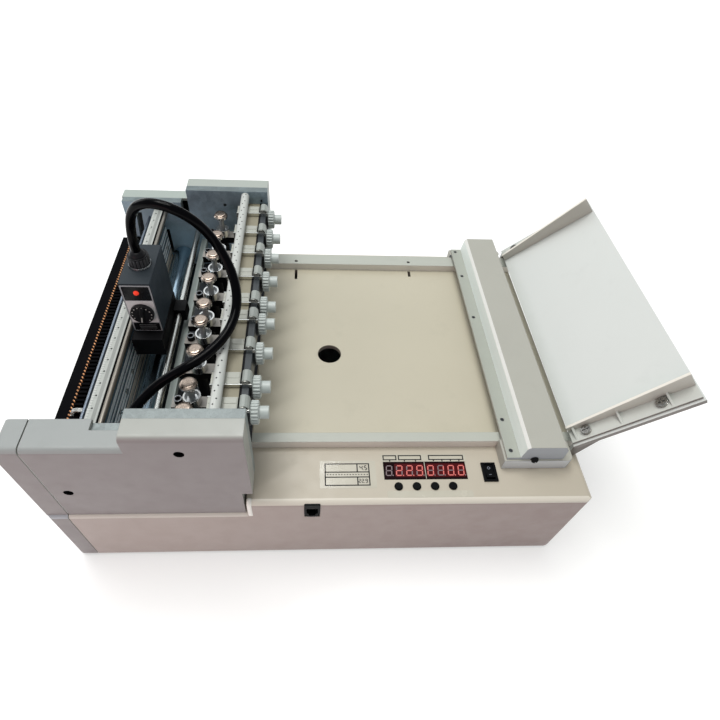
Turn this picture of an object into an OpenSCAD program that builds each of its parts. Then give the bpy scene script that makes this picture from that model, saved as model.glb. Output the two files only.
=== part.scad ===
// Desk label cutting machine: inclined feed tray, feed bridge, open deck and a cutter tower.
// Lengths in millimetres, +X towards the feed tray, +Y to the rear, +Z up.

/* [Body] */
// Length of the base housing
base_l = 374; // [340:1:420]
// Width of the left end cover
end_cover_w = 15; // [10:1:25]
// Depth of the whole body
depth = 276; // [260:1:310]
// Height of the control panel over the base's lower edge
panel_h = 87; // [82:1:100]
// Height of the ledge under the tower covers
ledge_h = 70; // [60:1:74]
// Wall of the base housing
wall = 3; // [2:0.5:4]
// Rounding of the panel's long edges
panel_r = 5; // [3:0.5:7]
// Rounding of the ledge
ledge_r = 3; // [1:0.5:4]
// Plan rounding of the two right corners
corner_r = 8; // [4:1:14]
// Thickness of the bottom plate
bottom_t = 1.5; // [1:0.5:3]
// Height of the rubber feet
foot_h = 4; // [2:0.5:10]
// Diameter of the rubber feet
foot_d = 18; // [12:1:24]

/* [Tower] */
// Length of the tower from the end cover's seam
tower_l = 130.5; // [126:0.5:140]
// Length of the raised part
raised_l = 71; // [64:1:76]
// Top of the low part
low_h = 157; // [150:0.5:166]
// Rise of the raised part over the low part
rise_h = 12.5; // [11:0.5:24]
// How far the covers stand back from the base's wall
set_back = 2; // [1:0.5:4]
// Wall of the tower covers
cover_t = 2.5; // [1.5:0.5:3.5]
// Depth of a tower cover
cover_depth = 14.5; // [14:0.5:20]
// Thickness of the steel side plates
plate_t = 7; // [4:0.5:8]
// Rounding of the covers' top edges
cover_r = 4; // [2:0.5:5]
// Overhang of the tower over the panel block
overhang = 7; // [6:0.5:9]
// Height of the overhang's lower edge over the panel
overhang_gap = 13; // [10:1:18]

/* [Deck] */
// Distance of the front rim from the front wall
front_rim_y = 45; // [44:1:50]
// Width of the front rim
front_rim_w = 8; // [5:0.5:10]
// Width of the rear rim
rear_rim_w = 14; // [10:0.5:16]
// Width of the strip behind the rear rim
rear_strip = 14; // [12:0.5:20]
// Height of both rims over the panel
rim_h = 8; // [5:0.5:9]
// Thickness of the deck sheet
deck_t = 1.2; // [0.8:0.1:2]
// Diameter of the round deck hole
deck_hole_d = 20; // [10:1:30]

/* [Bridge] */
// Distance of the bridge from the base's right end
bridge_back = 20; // [18:0.5:24]
// Width of the flange
flange_w = 10; // [8:0.5:12]
// Width of the beam on top
beam_w = 32; // [28:0.5:34]
// Underside of the beam over the panel
beam_under = 11; // [10:0.5:14]
// Top of the beam over the panel
beam_top = 26.6; // [24:0.2:32]
// Sheet of the beam
beam_t = 2.2; // [1.5:0.1:3]

/* [Tray] */
// Slope of the tray
tray_angle = 42; // [36:1:46]
// Length of the tray
tray_l = 89; // [85:1:120]
// Thickness of the tray
tray_t = 2; // [1.5:0.5:3]
// Distance of the front guide from the front rim
guide_in = 5; // [3:0.5:8]
// Distance of the rear guide from the rear rim's far edge
guide_rear_in = 12; // [11:0.5:14]
// Height of a guide at its lower end
guide_low = 7; // [5:0.5:10]
// Height of a guide at its upper end
guide_high = 17; // [12:0.5:22]
// Width of a guide's flange
guide_flange = 12; // [10:0.5:14]

/* [Panel] */
// Length of one display module
module_l = 30.2; // [28:0.1:32]
// Width of one display module
module_w = 14; // [13:0.1:16]
// Diameter of a push button
button_d = 6; // [5:0.1:7]
// Distance from button to button
button_pitch = 13.2; // [11:0.1:14]
// Travel of a push button
button_travel = 0.5; // [0.3:0.1:0.8]
// Width of the rocker switch
switch_w = 10.5; // [9:0.5:12]
// Length of the rocker switch
switch_l = 15; // [14:0.5:17]
// Throw of the rocker from one end position to the other
rocker_throw = 16; // [10:1:20]

/* [Mechanism] */
// Diameter of the feed roller
roller_d = 20; // [16:1:22]
// Diameter of the feed roller's shaft
shaft_d = 10; // [8:1:11]
// Travel of the moving knife
knife_travel = 10; // [8:0.5:11]
// Width of a press carriage
carriage_w = 10; // [9:0.5:11]
// Diameter of a lock knob
knob_d = 15.6; // [13:0.2:16.4]
// Diameter of a thumb screw's head
thumb_d = 12; // [11:0.5:14]
// Diameter of the sensor's clamp rod
clamp_rod_d = 5; // [4:0.5:6]

/* [Sensor] */
// Width of the sensor box
sensor_w = 20.5; // [18:0.5:22]
// Depth of the sensor box
sensor_l = 42; // [36:1:50]
// Height of the sensor box
sensor_h = 45; // [36:1:55]
// Diameter of the sensor's dial
dial_d = 16; // [12:0.5:18]
// Diameter of the sensor cable
cable_d = 6.4; // [5:0.2:7]

/* [Hidden] */
$fn = 64;
eps = 0.01;
// Radial clearance of running fits
run_fit = 0.05;
// Gap between pieces that move past each other
slip = 0.3;
// Gap round a piece set in a cut-out
inset_gap = 0.2;
// Open seam between two covers
seam = 0.5;

// Places along X, from the left end
x_seam = end_cover_w;
x_right = x_seam + base_l;
x_tower = x_seam + tower_l;
x_raised = x_tower - raised_l;
x_foot = x_tower - overhang;
x_panel = x_foot + 1.5;
x_beam_end = x_right - bridge_back;
x_beam = x_beam_end - beam_w;
x_bridge = x_beam - flange_w;

// Places along Y, from the front wall
y_plate = set_back + cover_depth;
y_in = y_plate + plate_t;
// The rear half of the tower mirrors the front one, and its cover stands almost flush
rear_back = 0.5;
twin_y = depth + set_back - rear_back;
y_far = twin_y - y_in;
inner_w = y_far - y_in;
rear_rim_y = depth - rear_strip - rear_rim_w;

// Heights over the base's lower edge
high_h = low_h + rise_h;
overhang_z = panel_h + overhang_gap;
deck_z = panel_h + deck_t;
strip_gap = 1.5;
plate_low_h = low_h - cover_t - 0.5;

// Feed tray: its lower edge lies behind the bridge
tray_x = x_beam_end + 9.5;
tray_z = panel_h + 14.5;
tray_side = guide_flange + 2;
guide_y = front_rim_y + guide_in;
guide_gap = depth - rear_strip - guide_rear_in - guide_y;
guide_t = 2;
guide_start = 0.6;
guide_end = tray_l - 1;
tray_y0 = guide_y - tray_side;
brace_t = 3;
brace_y = [tray_y0 + 1, depth - rear_strip + inset_gap];
tray_y1 = brace_y[1] + brace_t;
rib_places = [4, 36, 69.5];
guide_screw_places = [13, 65];

// Control panel, measured from the bridge
panel_back = 89;
display_x = x_bridge - panel_back;
display_y = 18.3;
display_gap = 0.6;
display_l = 2 * module_l + display_gap;
button_x = display_x + 9.5;
button_y = 12.6;
button_x_of = [for (i = [0:3]) button_x + i * button_pitch];
switch_x = display_x + display_l + 11.8;
switch_y = display_y - 2.5;
switch_rim = 0.8;
socket_x = display_x - 58.7;
socket_w = 13.4;
socket_h = 14.6;
socket_z = panel_h - 21;

// Feed drive
roller_x = x_raised - 12.5;
roller_z = deck_z + strip_gap + roller_d / 2;
roller_teeth = 60;
pinion_teeth = 40;
gear_module = 1;
gear_y = set_back + cover_t + 2;
gear_w = 6;
lip_y = gear_y - 0.5;
pinion_dx = 30;
gear_centres = gear_module * (roller_teeth + pinion_teeth) / 2;
pinion_x = roller_x + pinion_dx;
pinion_z = roller_z - sqrt(gear_centres * gear_centres - pinion_dx * pinion_dx);
motor_w = 42;
motor_l = 38;
motor_shaft_d = 5;
motor_pilot_d = 22;

// Knife
table_x = x_raised - 20;
fixed_knife_t = 4;
knife_t = 3.4;
knife_x = table_x - fixed_knife_t - slip - knife_t;
knife_low = deck_z + 5.8;
shear = 2;
knife_block_l = 20;
plunger_d = 8;
plunger_x = knife_x - 3.8;
plunger_y = y_in + 12.5;
solenoid_d = 24;
solenoid_z = 30;
solenoid_h = 36;

// Rods and bars across the tower
ruler_x = knife_x - 3.4;
ruler_w = 8;
ruler_z = low_h - 10;
ruler_t = 2.5;
knife_top_gap = 7;
knife_h = ruler_z - knife_top_gap - knife_low;
scale_d = 7;
// Brush bar at the left end, with a comb on the half that faces the knife
brush_w = 16.6;
brush_t = 6;
brush_out = 7;
brush_z = deck_z + 24;
comb_l = 6.2;
comb_h = 2;
comb_teeth = 64;
scale_x = x_tower - 19.5;
scale_z = high_h - 4.5;
clamp_x = x_raised + 6;
clamp_z = deck_z + 42.8;
rod_d = 4;
thin_rod_d = 2.4;
tie_d = 8;
bar_w = 5;
bar_h = 6;

// Carriages: shares of the clear width, read from the front
carriage_share = [0.043, 0.13, 0.257, 0.38, 0.457, 0.581, 0.704, 0.818, 0.94];
rail_back = 7;
rail_x = x_tower - rail_back;
rail_w = 6;
rail_drop = 29.5;
rail_z = high_h - rail_drop;
rail_h = 18;
saddle_x = rail_x - 18.5;
web_t = 2.2;
web_z = rail_z + rail_h + slip;
slide_x = saddle_x + 2.3;
slide_z = rail_z + 6;
slide_top = rail_z + rail_h - 0.4;
leg_t = 1.2;
clip_d = 4.4;
clip_in = 3.7;
leg_x = rail_x + rail_w + slip;
arm_x = saddle_x - 30;
arm_z = rail_z - 12;
arm_t = 6;
arm_w = 9;
thumb_x = arm_x + 14.5;
thumb_shank_d = 4;
shank_reach = 14;
shoe_z = deck_z + 2.8;
shoe_h = 5;
post_d = 8;
cap_screw_x = arm_x + 4.7;
cup_d = 12;
cup_h = 6.7;
neck_h = 10;
thumb_h = 5;
knob_z = rail_z + 11;
knob_screw_d = 5;
knob_w = 5.2;
hub_d = 8.4;
hub_l = 6.2;
knob_x = leg_x + leg_t + slip;
rib_count = 20;
rib_d = 1.4;

// Sensor
sensor_share = 0.462;
sensor_y = y_in + sensor_share * inner_w;
sensor_x = clamp_x - 14;
sensor_z = clamp_z + 14;
bracket_h = 16;
lens_d = 14;
lens_h = 11;
dial_z = sensor_z + 19;
dial_h = 2.6;
dial_pin_d = 4;
dial_pin_l = 5;
dial_turn = 10;
gland_d = 13.5;
gland_h = 8;
clamp_w = 11;
clamp_l = 12;
clamp_y = sensor_y + 15;
grommet_d = 11;
grommet_l = 4;

// Route of the sensor cable: up out of the gland, over the carriages and down to the front plate.
// Each row: share of the way along Y from gland to ferrule, then the offsets in X and Z from that line
cable_start = [sensor_x, sensor_y, sensor_z + sensor_h + gland_h];
cable_end = [roller_x + 8, y_in + grommet_l, plate_low_h - 7];
cable_shape = [
    [0, 0, 0], [0, 0, 10], [-0.03, -0.5, 19], [-0.02, 2, 30], [0.005, 7.5, 40], [0.045, 16.5, 47],
    [0.075, 27, 49], [0.09, 37, 46], [0.08, 45.5, 38], [0.05, 50.5, 26.5], [0.055, 56.5, 17],
    [0.095, 61, 9.5],
    [0.165, 66, 5.5], [0.235, 68, 1], [0.33, 68, -1], [0.42, 64.5, -1.5], [0.52, 59.5, 1.5],
    [0.615, 53.5, 6.5],
    [0.695, 45.5, 10], [0.75, 36, 10.5], [0.77, 25.5, 7.5], [0.79, 15.5, 0], [0.84, 7, -3.5], [0.92, 1.5, -3],
    [1, 0, 0]
];
cable_sides = 10;
cable_route = [for (p = cable_shape) cable_start + p[0] * (cable_end - cable_start) + [p[1], 0, p[2]]];
grommet_x = cable_end[0];
grommet_z = cable_end[2];

// The row's frame: middle of the footprint, on the feet's lower face
tray_tip = tray_x + tray_l * cos(tray_angle);
total_l = tray_tip + tray_t * sin(tray_angle);
frame_shift = [-total_l / 2, -depth / 2, foot_h];

beige = [0.80, 0.78, 0.72];
cream = [0.88, 0.85, 0.76];
steel = [0.62, 0.65, 0.66];
zinc = [0.66, 0.70, 0.68];
chrome = [0.82, 0.84, 0.86];
black = [0.08, 0.08, 0.09];
graphite = [0.22, 0.23, 0.25];
brown = [0.55, 0.45, 0.30];
white = [0.90, 0.90, 0.86];

// Moves a piece from the machine's corner to the row's frame
module place() {
    translate(frame_shift) children();
}

// Box from one corner to the other
module block(low, high) {
    translate(low) cube(high - low);
}

// Prism along Y from an outline in X and Z
module along_y(y0, y1) {
    translate([0, y1, 0]) rotate([90, 0, 0]) linear_extrude(y1 - y0) children();
}

// Prism along X from an outline in Y and Z
module along_x(x0, x1) {
    translate([x0, 0, 0]) rotate([90, 0, 90]) linear_extrude(x1 - x0) children();
}

module rod_y(x, z, d, y0, y1) {
    translate([x, y1, z]) rotate([90, 0, 0]) cylinder(d = d, h = y1 - y0);
}

module rod_x(y, z, d, x0, x1) {
    translate([x0, y, z]) rotate([0, 90, 0]) cylinder(d = d, h = x1 - x0);
}

module rod_z(x, y, d, z0, z1) {
    translate([x, y, z0]) cylinder(d = d, h = z1 - z0);
}

// The rear counterpart of a piece at the front
module rear_twin() {
    translate([0, twin_y, 0]) mirror([0, 1, 0]) children();
}

// Outline from a to b and from 0 to h, with its upper corners rounded
module round_top(a, b, h, r) {
    translate([a, 0]) square([b - a, h - r]);
    translate([a + r, 0]) square([b - a - 2 * r, h]);
    for (u = [a + r, b - r]) translate([u, h - r]) circle(r);
}

// Outline with only its first upper corner rounded
module round_front(a, b, h, r) {
    translate([a, 0]) square([b - a, h - r]);
    translate([a + r, 0]) square([b - a - r, h]);
    translate([a + r, h - r]) circle(r);
}

// Rectangle with its two corners at the high X end rounded
module round_right(x0, x1, y0, y1, r) {
    translate([x0, y0]) square([x1 - x0 - r, y1 - y0]);
    translate([x0, y0 + r]) square([x1 - x0, y1 - y0 - 2 * r]);
    for (v = [y0 + r, y1 - r]) translate([x1 - r, v]) circle(r);
}

module slab(x0, x1, h, r) {
    along_x(x0, x1) round_top(0, depth, h, r);
}

module base_housing() {
    color(beige) place() difference() {
        intersection() {
            union() {
                slab(x_seam, x_panel + wall, ledge_h, ledge_r);
                slab(x_panel, x_right, panel_h, panel_r);
            }
            along_y(-1, depth + 1) base_side();
            translate([0, 0, -1]) linear_extrude(panel_h + 2)
                round_right(x_seam, x_right, 0, depth, corner_r);
        }
        block([x_seam + wall, wall, -1], [x_right - wall, depth - wall, ledge_h - wall]);
        block([x_seam + wall, lip_y, ledge_h - wall - 1], [x_panel, depth - lip_y, panel_h + 1]);
        block([x_panel + wall, wall, ledge_h - wall - 1], [x_right - wall, depth - wall, panel_h - wall]);
        panel_cuts();
        deck_cuts(panel_h - wall - 1, panel_h + 1);
        socket_cut();
    }
}

// Side outline of the base, its right upper edge rounded
module base_side() {
    translate([x_seam, 0]) square([base_l, panel_h - panel_r]);
    translate([x_seam, 0]) square([base_l - panel_r, panel_h]);
    translate([x_right - panel_r, panel_h - panel_r]) circle(panel_r);
}

module panel_cuts() {
    z0 = panel_h - wall - 1;
    z1 = panel_h + 1;
    block([display_x - inset_gap, display_y - inset_gap, z0],
          [display_x + display_l + inset_gap, display_y + module_w + inset_gap, z1]);
    for (x = button_x_of) rod_z(x, button_y, button_d + 2 * run_fit, z0, z1);
    block([switch_x + switch_rim, switch_y + switch_rim, z0],
          [switch_x + switch_w - switch_rim, switch_y + switch_l - switch_rim, z1]);
}

// Round hole and the two rear slots, through the deck and the housing
module deck_cuts(z0, z1) {
    rod_z(x_tower + 55, depth / 2 - 1.4, deck_hole_d, z0, z1);
    block([x_tower + 23, rear_rim_y - 15, z0], [x_tower + 25.6, rear_rim_y - 1, z1]);
    block([x_bridge - 45.5, rear_rim_y - 9, z0], [x_bridge - 42.9, rear_rim_y - 1, z1]);
}

module socket_cut() {
    block([socket_x - inset_gap, -1, socket_z - inset_gap],
          [socket_x + socket_w + inset_gap, wall + 1, socket_z + socket_h + inset_gap]);
}

module bottom_plate() {
    g = wall + inset_gap;
    color(steel) place() block([x_seam + g, g, 0], [x_right - g, depth - g, bottom_t]);
}

module rubber_feet() {
    inset = 22;
    color(black) place()
        for (x = [x_seam + inset + 3, x_right - inset], y = [inset, depth - inset])
            rod_z(x, y, foot_d, -foot_h, 0);
}

module left_end_cover() {
    color(beige) place() difference() {
        union() {
            intersection() {
                slab(0, x_seam - seam, ledge_h, ledge_r);
                translate([x_seam, depth, 0]) rotate([0, 0, 180]) linear_extrude(ledge_h)
                    round_right(0, x_seam, 0, depth, cover_r);
            }
            intersection() {
                along_x(0, x_seam - seam) round_front(set_back, y_in + 1, low_h, cover_r);
                along_y(0, depth) post_side();
                block([0, 0, ledge_h - 1], [x_seam, depth, low_h]);
            }
        }
        block([cover_t, cover_t, -1], [x_seam + 1, depth - cover_t, ledge_h - cover_t]);
        block([cover_t, set_back + cover_t, ledge_h - cover_t - 1], [x_seam + 1, y_in + 2, low_h - cover_t]);
    }
}

// Side outline of the corner post, its outer upper corner rounded
module post_side() {
    square([x_seam, low_h - cover_r]);
    translate([cover_r, 0]) square([x_seam - cover_r, low_h]);
    translate([cover_r, low_h - cover_r]) circle(cover_r);
}

// Side outline of the tower; t draws it in by a wall, lip opens the sides that stay open
module tower_side(t, lip) {
    polygon([
        [x_seam + slip - lip, ledge_h - lip], [x_foot - t, ledge_h - lip],
        [x_foot - t, overhang_z + t], [x_tower - t, overhang_z + t],
        [x_tower - t, high_h - t], [x_raised + t, high_h - t],
        [x_raised + t, low_h - t], [x_seam + slip - lip, low_h - t]
    ]);
}

// Its low part reaches over the side plate only where reach says so
module tower_cover(reach) {
    window_x = x_raised - 22.5;
    difference() {
        intersection() {
            along_y(set_back, y_in + 1) tower_side(0, 0);
            union() {
                along_x(x_seam, x_raised) round_front(set_back, reach, low_h, cover_r);
                along_x(x_raised - eps, x_tower) round_front(set_back, y_plate, high_h, cover_r);
            }
        }
        along_y(set_back + cover_t, y_in + 2) tower_side(cover_t, 1);
        block([window_x, y_plate, low_h - cover_t - 1], [x_raised + 1, y_in + 2, low_h + 1]);
        for (p = cover_screw_places) rod_y(p[0], p[1], cover_hole_d, 0, y_plate);
    }
    for (p = cover_screw_places) difference() {
        rod_y(p[0], p[1], cover_hole_d + 2, set_back + cover_t - eps, y_plate);
        rod_y(p[0], p[1], cover_hole_d, 0, cover_screw_y);
        rod_y(p[0], p[1], cover_hole_d / 2 + 2 * run_fit, 0, y_plate + 1);
    }
}

cover_hole_d = 6.4;
cover_screw_y = y_plate - 6;
cover_screw_places = [[x_raised + 32, low_h - 4], [x_seam + 11.5, ledge_h + 34]];

module front_tower_cover() {
    color(beige) place() tower_cover(y_in + 1);
}

module rear_tower_cover() {
    color(beige) place() rear_twin() tower_cover(y_plate);
}

// Steel side plate with the roller's bearing bore and its slots
module side_plate(low_top) {
    x0 = x_seam + 1.5;
    along_y(y_plate, y_in) difference() {
        polygon([
            [x_seam + wall + slip, bottom_t], [x_foot, bottom_t], [x_foot, overhang_z],
            [x_tower, overhang_z], [x_tower, high_h], [x_raised, high_h], [x_raised, low_top],
            [x0, low_top], [x0, ledge_h + 0.5], [x_seam + wall + slip, ledge_h + 0.5]
        ]);
        translate([roller_x, roller_z]) circle(d = shaft_d + 2 * run_fit);
        translate([x_seam + 9, ruler_z - 27]) polygon([[0, 0], [5, 0], [7.5, 26], [2.5, 26]]);
        translate([knife_x + 1, roller_z + 1.5]) square([4.8, 27]);
        translate([x_tower - 38.5, high_h - 14]) circle(d = 3);
        translate([x_tower - 6.6, web_z + 0.7]) square([1.8, 2.8]);
    }
}

// Notch beside the raised part of the rear plate
notch_w = 6.5;
notch_h = 14;

module side_plates() {
    color(zinc) place() {
        difference() {
            side_plate(plate_low_h);
            rod_y(pinion_x, pinion_z, motor_pilot_d, 0, y_in + 1);
        }
        rear_twin() difference() {
            side_plate(low_h);
            block([x_raised - notch_w, y_plate - 1, low_h - notch_h], [x_raised, y_in + 1, low_h + 1]);
        }
    }
}

module deck_plate() {
    x0 = x_panel + 1;
    x1 = x_right - wall;
    color(cream) place() difference() {
        union() {
            block([x0, front_rim_y, panel_h], [x1, rear_rim_y + rear_rim_w, deck_z]);
            block([x0, front_rim_y, panel_h], [x1, front_rim_y + front_rim_w, panel_h + rim_h]);
            block([x0, rear_rim_y, panel_h], [x1, rear_rim_y + rear_rim_w, panel_h + rim_h]);
        }
        deck_cuts(panel_h - 1, panel_h + rim_h + 1);
        for (p = rim_screw_places)
            rod_z(p[0], p[1], rim_screw_d + 2 * run_fit, panel_h - 1, panel_h + rim_h + 1);
    }
}

rim_screw_d = 3;
sunk = 1;
rim_screw_places = [[x_tower + 24.3, rear_rim_y + 4], [x_bridge - 44.8, rear_rim_y + 5]];

// Hat section of the bridge: flange, sloped shoulder, flat top
module beam_outline() {
    z0 = panel_h + beam_under;
    z1 = panel_h + beam_top;
    polygon([
        [x_bridge, z0], [x_beam_end, z0], [x_beam_end, z1 - 4], [x_beam_end - 2.5, z1], [x_beam + 3.5, z1],
        [x_beam + 1.5, z1 - 2], [x_beam, z0 + beam_t], [x_bridge, z0 + beam_t]
    ]);
}

module beam_hollow() {
    z0 = panel_h + beam_under;
    z1 = panel_h + beam_top - beam_t;
    polygon([
        [x_beam + beam_t, z0 - 1], [x_beam_end - beam_t, z0 - 1], [x_beam_end - beam_t, z1 - 3],
        [x_beam_end - 2 * beam_t, z1], [x_beam + 2 * beam_t, z1], [x_beam + beam_t + 1, z1 - 2]
    ]);
}

beam_y0 = front_rim_y - 17;
beam_y1 = depth - 8;
foot_margin = 1.5;
notch_d = 6;
foot_reach = 8;
foot_r = 4;

module feed_bridge() {
    color(beige) place() difference() {
        union() {
            along_y(beam_y0, beam_y1) beam_outline();
            bridge_foot(beam_y0 - foot_margin, front_rim_y - inset_gap);
            bridge_foot(depth - rear_strip + inset_gap, beam_y1 + foot_margin);
        }
        along_y(front_rim_y, depth - rear_strip) beam_hollow();
        translate([x_beam + beam_w / 3, beam_y0, panel_h + beam_under]) sphere(d = notch_d);
        for (y = bridge_screw_y) rod_z(x_bridge + bridge_screw_in, y, bridge_screw_d + 2 * run_fit,
                                       panel_h + beam_under - 1, panel_h + beam_under + beam_t + 1);
    }
}

bridge_screw_d = 3;
bridge_screw_in = 4;
bridge_screw_y = [front_rim_y - 11, front_rim_y + 16, depth / 2 + 33, depth - 49, depth - 12];

module bridge_foot(y0, y1) {
    translate([0, 0, panel_h]) linear_extrude(beam_under)
        round_right(x_bridge - foot_margin, x_beam_end + foot_reach, y0, y1, min(foot_r, 0.45 * (y1 - y0)));
}

// Tray frame: u along the slope, v across it, w square to it
module on_tray() {
    translate([tray_x, 0, tray_z]) rotate([0, -tray_angle, 0]) children();
}

module feed_tray() {
    mid_x = tray_x + tray_t / 2 * sin(tray_angle);
    mid_z = tray_z - tray_t / 2 * cos(tray_angle);
    s0 = 1;
    s1 = 30;
    color(cream) place() {
        difference() {
            on_tray() block([0, tray_y0, -tray_t], [tray_l, tray_y1, 0]);
            on_tray() for (u = guide_screw_places, v = guide_screw_y)
                rod_z(u, v, guide_screw_d + 2 * run_fit, -tray_t - 1, 1);
        }
        for (y = brace_y) along_y(y, y + brace_t) polygon([
            [tray_x + 0.5, panel_h], [x_right - panel_r, panel_h],
            [mid_x + s1 * cos(tray_angle), mid_z + s1 * sin(tray_angle)],
            [mid_x + s0 * cos(tray_angle), mid_z + s0 * sin(tray_angle)]
        ]);
    }
}

guide_screw_d = 4;
guide_screw_y = [guide_y - guide_flange / 2, guide_y + guide_gap + guide_flange / 2];

// L-shaped side guide with a tapering wall and three ribs
module tray_guide() {
    difference() {
        union() {
            block([guide_start, guide_y - guide_flange, 0], [guide_end, guide_y, guide_t]);
            along_y(guide_y - guide_t, guide_y) polygon([
                [guide_start, 0], [guide_end, 0], [guide_end, guide_high], [guide_start, guide_low]
            ]);
            for (u = rib_places) along_x(u, u + 1.6) polygon([
                [guide_y - guide_flange + 1, guide_t - eps], [guide_y - guide_t, guide_t - eps],
                [guide_y - guide_t, guide_low - 1]
            ]);
        }
        for (u = guide_screw_places)
            rod_z(u, guide_screw_y[0], guide_screw_d + 2 * run_fit, -1, guide_t + 1);
    }
}

module tray_guides() {
    color(cream) place() on_tray() {
        tray_guide();
        translate([0, 2 * guide_y + guide_gap, 0]) mirror([0, 1, 0]) tray_guide();
    }
}

// Pan head screw, its head on w = 0 and its shank below
module screw(d, l) {
    difference() {
        union() {
            translate([0, 0, -l]) cylinder(d = d, h = l);
            cylinder(d = 1.8 * d, h = 0.55 * d);
        }
        for (a = [0, 90]) rotate(a) translate([-0.6 * d, -0.12 * d, 0.3 * d]) cube([1.2 * d, 0.24 * d, d]);
    }
}

module case_screws() {
    color(chrome) place() {
        on_tray() for (u = guide_screw_places, v = guide_screw_y)
            translate([u, v, guide_t]) screw(guide_screw_d, guide_t + tray_t);
        for (y = bridge_screw_y)
            rod_z(x_bridge + bridge_screw_in, y, bridge_screw_d,
                  panel_h + beam_under, panel_h + beam_under + beam_t - sunk);
        for (p = rim_screw_places) rod_z(p[0], p[1], rim_screw_d, panel_h, panel_h + rim_h - sunk);
        for (p = cover_screw_places) {
            cover_screw(p);
            rear_twin() cover_screw(p);
        }
    }
}

// Cover screw at the bottom of its recess, tight against the side plate
module cover_screw(p) {
    d = cover_hole_d / 2;
    translate([p[0], cover_screw_y, p[1]]) rotate([90, 0, 0]) screw(d, y_plate - cover_screw_y);
}

module display_board() {
    board_t = 1.6;
    board_z = panel_h - 9.5;
    color(black) place() {
        block([display_x - 6, button_y - 8, board_z],
              [display_x + display_l + 6, display_y + module_w + 6, board_z + board_t]);
        for (x = [display_x, display_x + module_l + display_gap])
            block([x, display_y, board_z + board_t - eps],
                  [x + module_l, display_y + module_w, panel_h + 0.3]);
        for (x = [display_x - 3, display_x + display_l + 3], y = [button_y - 4, display_y + module_w + 3])
            rod_z(x, y, 5, board_z + board_t - eps, panel_h - wall);
        for (x = button_x_of)
            block([x - 3, button_y - 3, board_z + board_t - eps], [x + 3, button_y + 3, tact_z]);
    }
}

collar_h = 0.8;
button_low = panel_h - wall - 0.1 - collar_h;
tact_z = button_low - button_travel - 0.1;

module button(i) {
    color(black) place() translate([button_x_of[i], button_y, 0]) {
        rod_z(0, 0, button_d + 1.6, button_low, button_low + collar_h);
        rod_z(0, 0, button_d, button_low, panel_h + 1);
        translate([0, 0, panel_h + 1]) cylinder(d1 = button_d, d2 = button_d - 1.2, h = 0.6);
    }
}

rocker_z = panel_h + 0.6;
rocker_pin_d = 2;
rocker_w = switch_w - 4.4;
rocker_l = switch_l - 3.6;

module switch_body() {
    gap = switch_rim + inset_gap;
    mid_y = switch_y + switch_l / 2;
    mid_x = switch_x + switch_w / 2;
    color(black) place() difference() {
        union() {
            block([switch_x, switch_y, panel_h], [switch_x + switch_w, switch_y + switch_l, panel_h + 1.4]);
            block([switch_x + gap, switch_y + gap, panel_h - 15],
                  [switch_x + switch_w - gap, switch_y + switch_l - gap, panel_h]);
        }
        block([mid_x - rocker_w / 2 - slip, mid_y - rocker_l / 2 - slip, panel_h - 6],
              [mid_x + rocker_w / 2 + slip, mid_y + rocker_l / 2 + slip, panel_h + 2]);
        rod_x(mid_y, rocker_z - 1, rocker_pin_d + 2 * run_fit,
              mid_x - rocker_w / 2 - 1, mid_x + rocker_w / 2 + 1);
    }
}

// Rocker at its first end position
module switch_rocker() {
    mid_y = switch_y + switch_l / 2;
    mid_x = switch_x + switch_w / 2;
    h = rocker_l / 2;
    color(black) place() translate([mid_x, mid_y, rocker_z - 1]) rotate([-rocker_throw / 2, 0, 0]) {
        along_x(-rocker_w / 2, rocker_w / 2) polygon([
            [-h + 0.8, -3], [h - 0.8, -3], [h - 0.4, 2], [0, 1.4], [-h + 0.4, 2]
        ]);
        rod_x(0, 0, rocker_pin_d, -rocker_w / 2 - 0.8, rocker_w / 2 + 0.8);
    }
}

module front_socket() {
    lip = 1.5;
    color(black) place() difference() {
        union() {
            block([socket_x, 0.4, socket_z], [socket_x + socket_w, 14, socket_z + socket_h]);
            block([socket_x - lip, wall, socket_z - lip],
                  [socket_x + socket_w + lip, wall + 1.5, socket_z + socket_h + lip]);
        }
        block([socket_x + 2, 0, socket_z + 2], [socket_x + socket_w - 2, 11, socket_z + socket_h - 2.6]);
    }
}

// Spur gear about Z: round body with straight-flanked teeth
module gear(teeth, w) {
    pitch_r = gear_module * teeth / 2;
    root_r = pitch_r - 1.25 * gear_module;
    tip = 0.9 * gear_module;
    linear_extrude(w) {
        circle(root_r + 0.1);
        for (i = [0:teeth - 1]) rotate(i * 360 / teeth) polygon([
            [root_r - 0.4, -0.8], [pitch_r, -0.58], [pitch_r + tip, -0.28],
            [pitch_r + tip, 0.28], [pitch_r, 0.58], [root_r - 0.4, 0.8]
        ]);
    }
}

// Gear at its place in the front cover, turned about its axis by a
module gear_at(x, z, teeth, a) {
    translate([x, gear_y + gear_w, z]) rotate([90, 0, 0]) rotate(a) gear(teeth, gear_w);
}

module feed_roller() {
    color(chrome) place() {
        rod_y(roller_x, roller_z, shaft_d, gear_y, twin_y - y_plate + 2);
        rod_y(roller_x, roller_z, roller_d, y_in + 1, y_far - 1);
        gear_at(roller_x, roller_z, roller_teeth, 0);
    }
}

module feed_motor() {
    m = motor_w / 2;
    color(graphite) place() difference() {
        union() {
            block([pinion_x - m, y_in, pinion_z - m], [pinion_x + m, y_in + motor_l, pinion_z + m]);
            rod_y(pinion_x, pinion_z, motor_pilot_d - 2 * run_fit, y_in - 2, y_in + 1);
        }
        rod_y(pinion_x, pinion_z, motor_shaft_d + 2 * run_fit, y_in - 3, y_in + motor_l - 4);
    }
}

// Turns the pinion so that a gap meets the roller gear's tooth
mesh_line = atan2(pinion_z - roller_z, pinion_x - roller_x);
mesh_turn = mesh_line + 180 + 180 / pinion_teeth
    + (mesh_line * roller_teeth / 360 - round(mesh_line * roller_teeth / 360)) * 360 / pinion_teeth;

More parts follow.
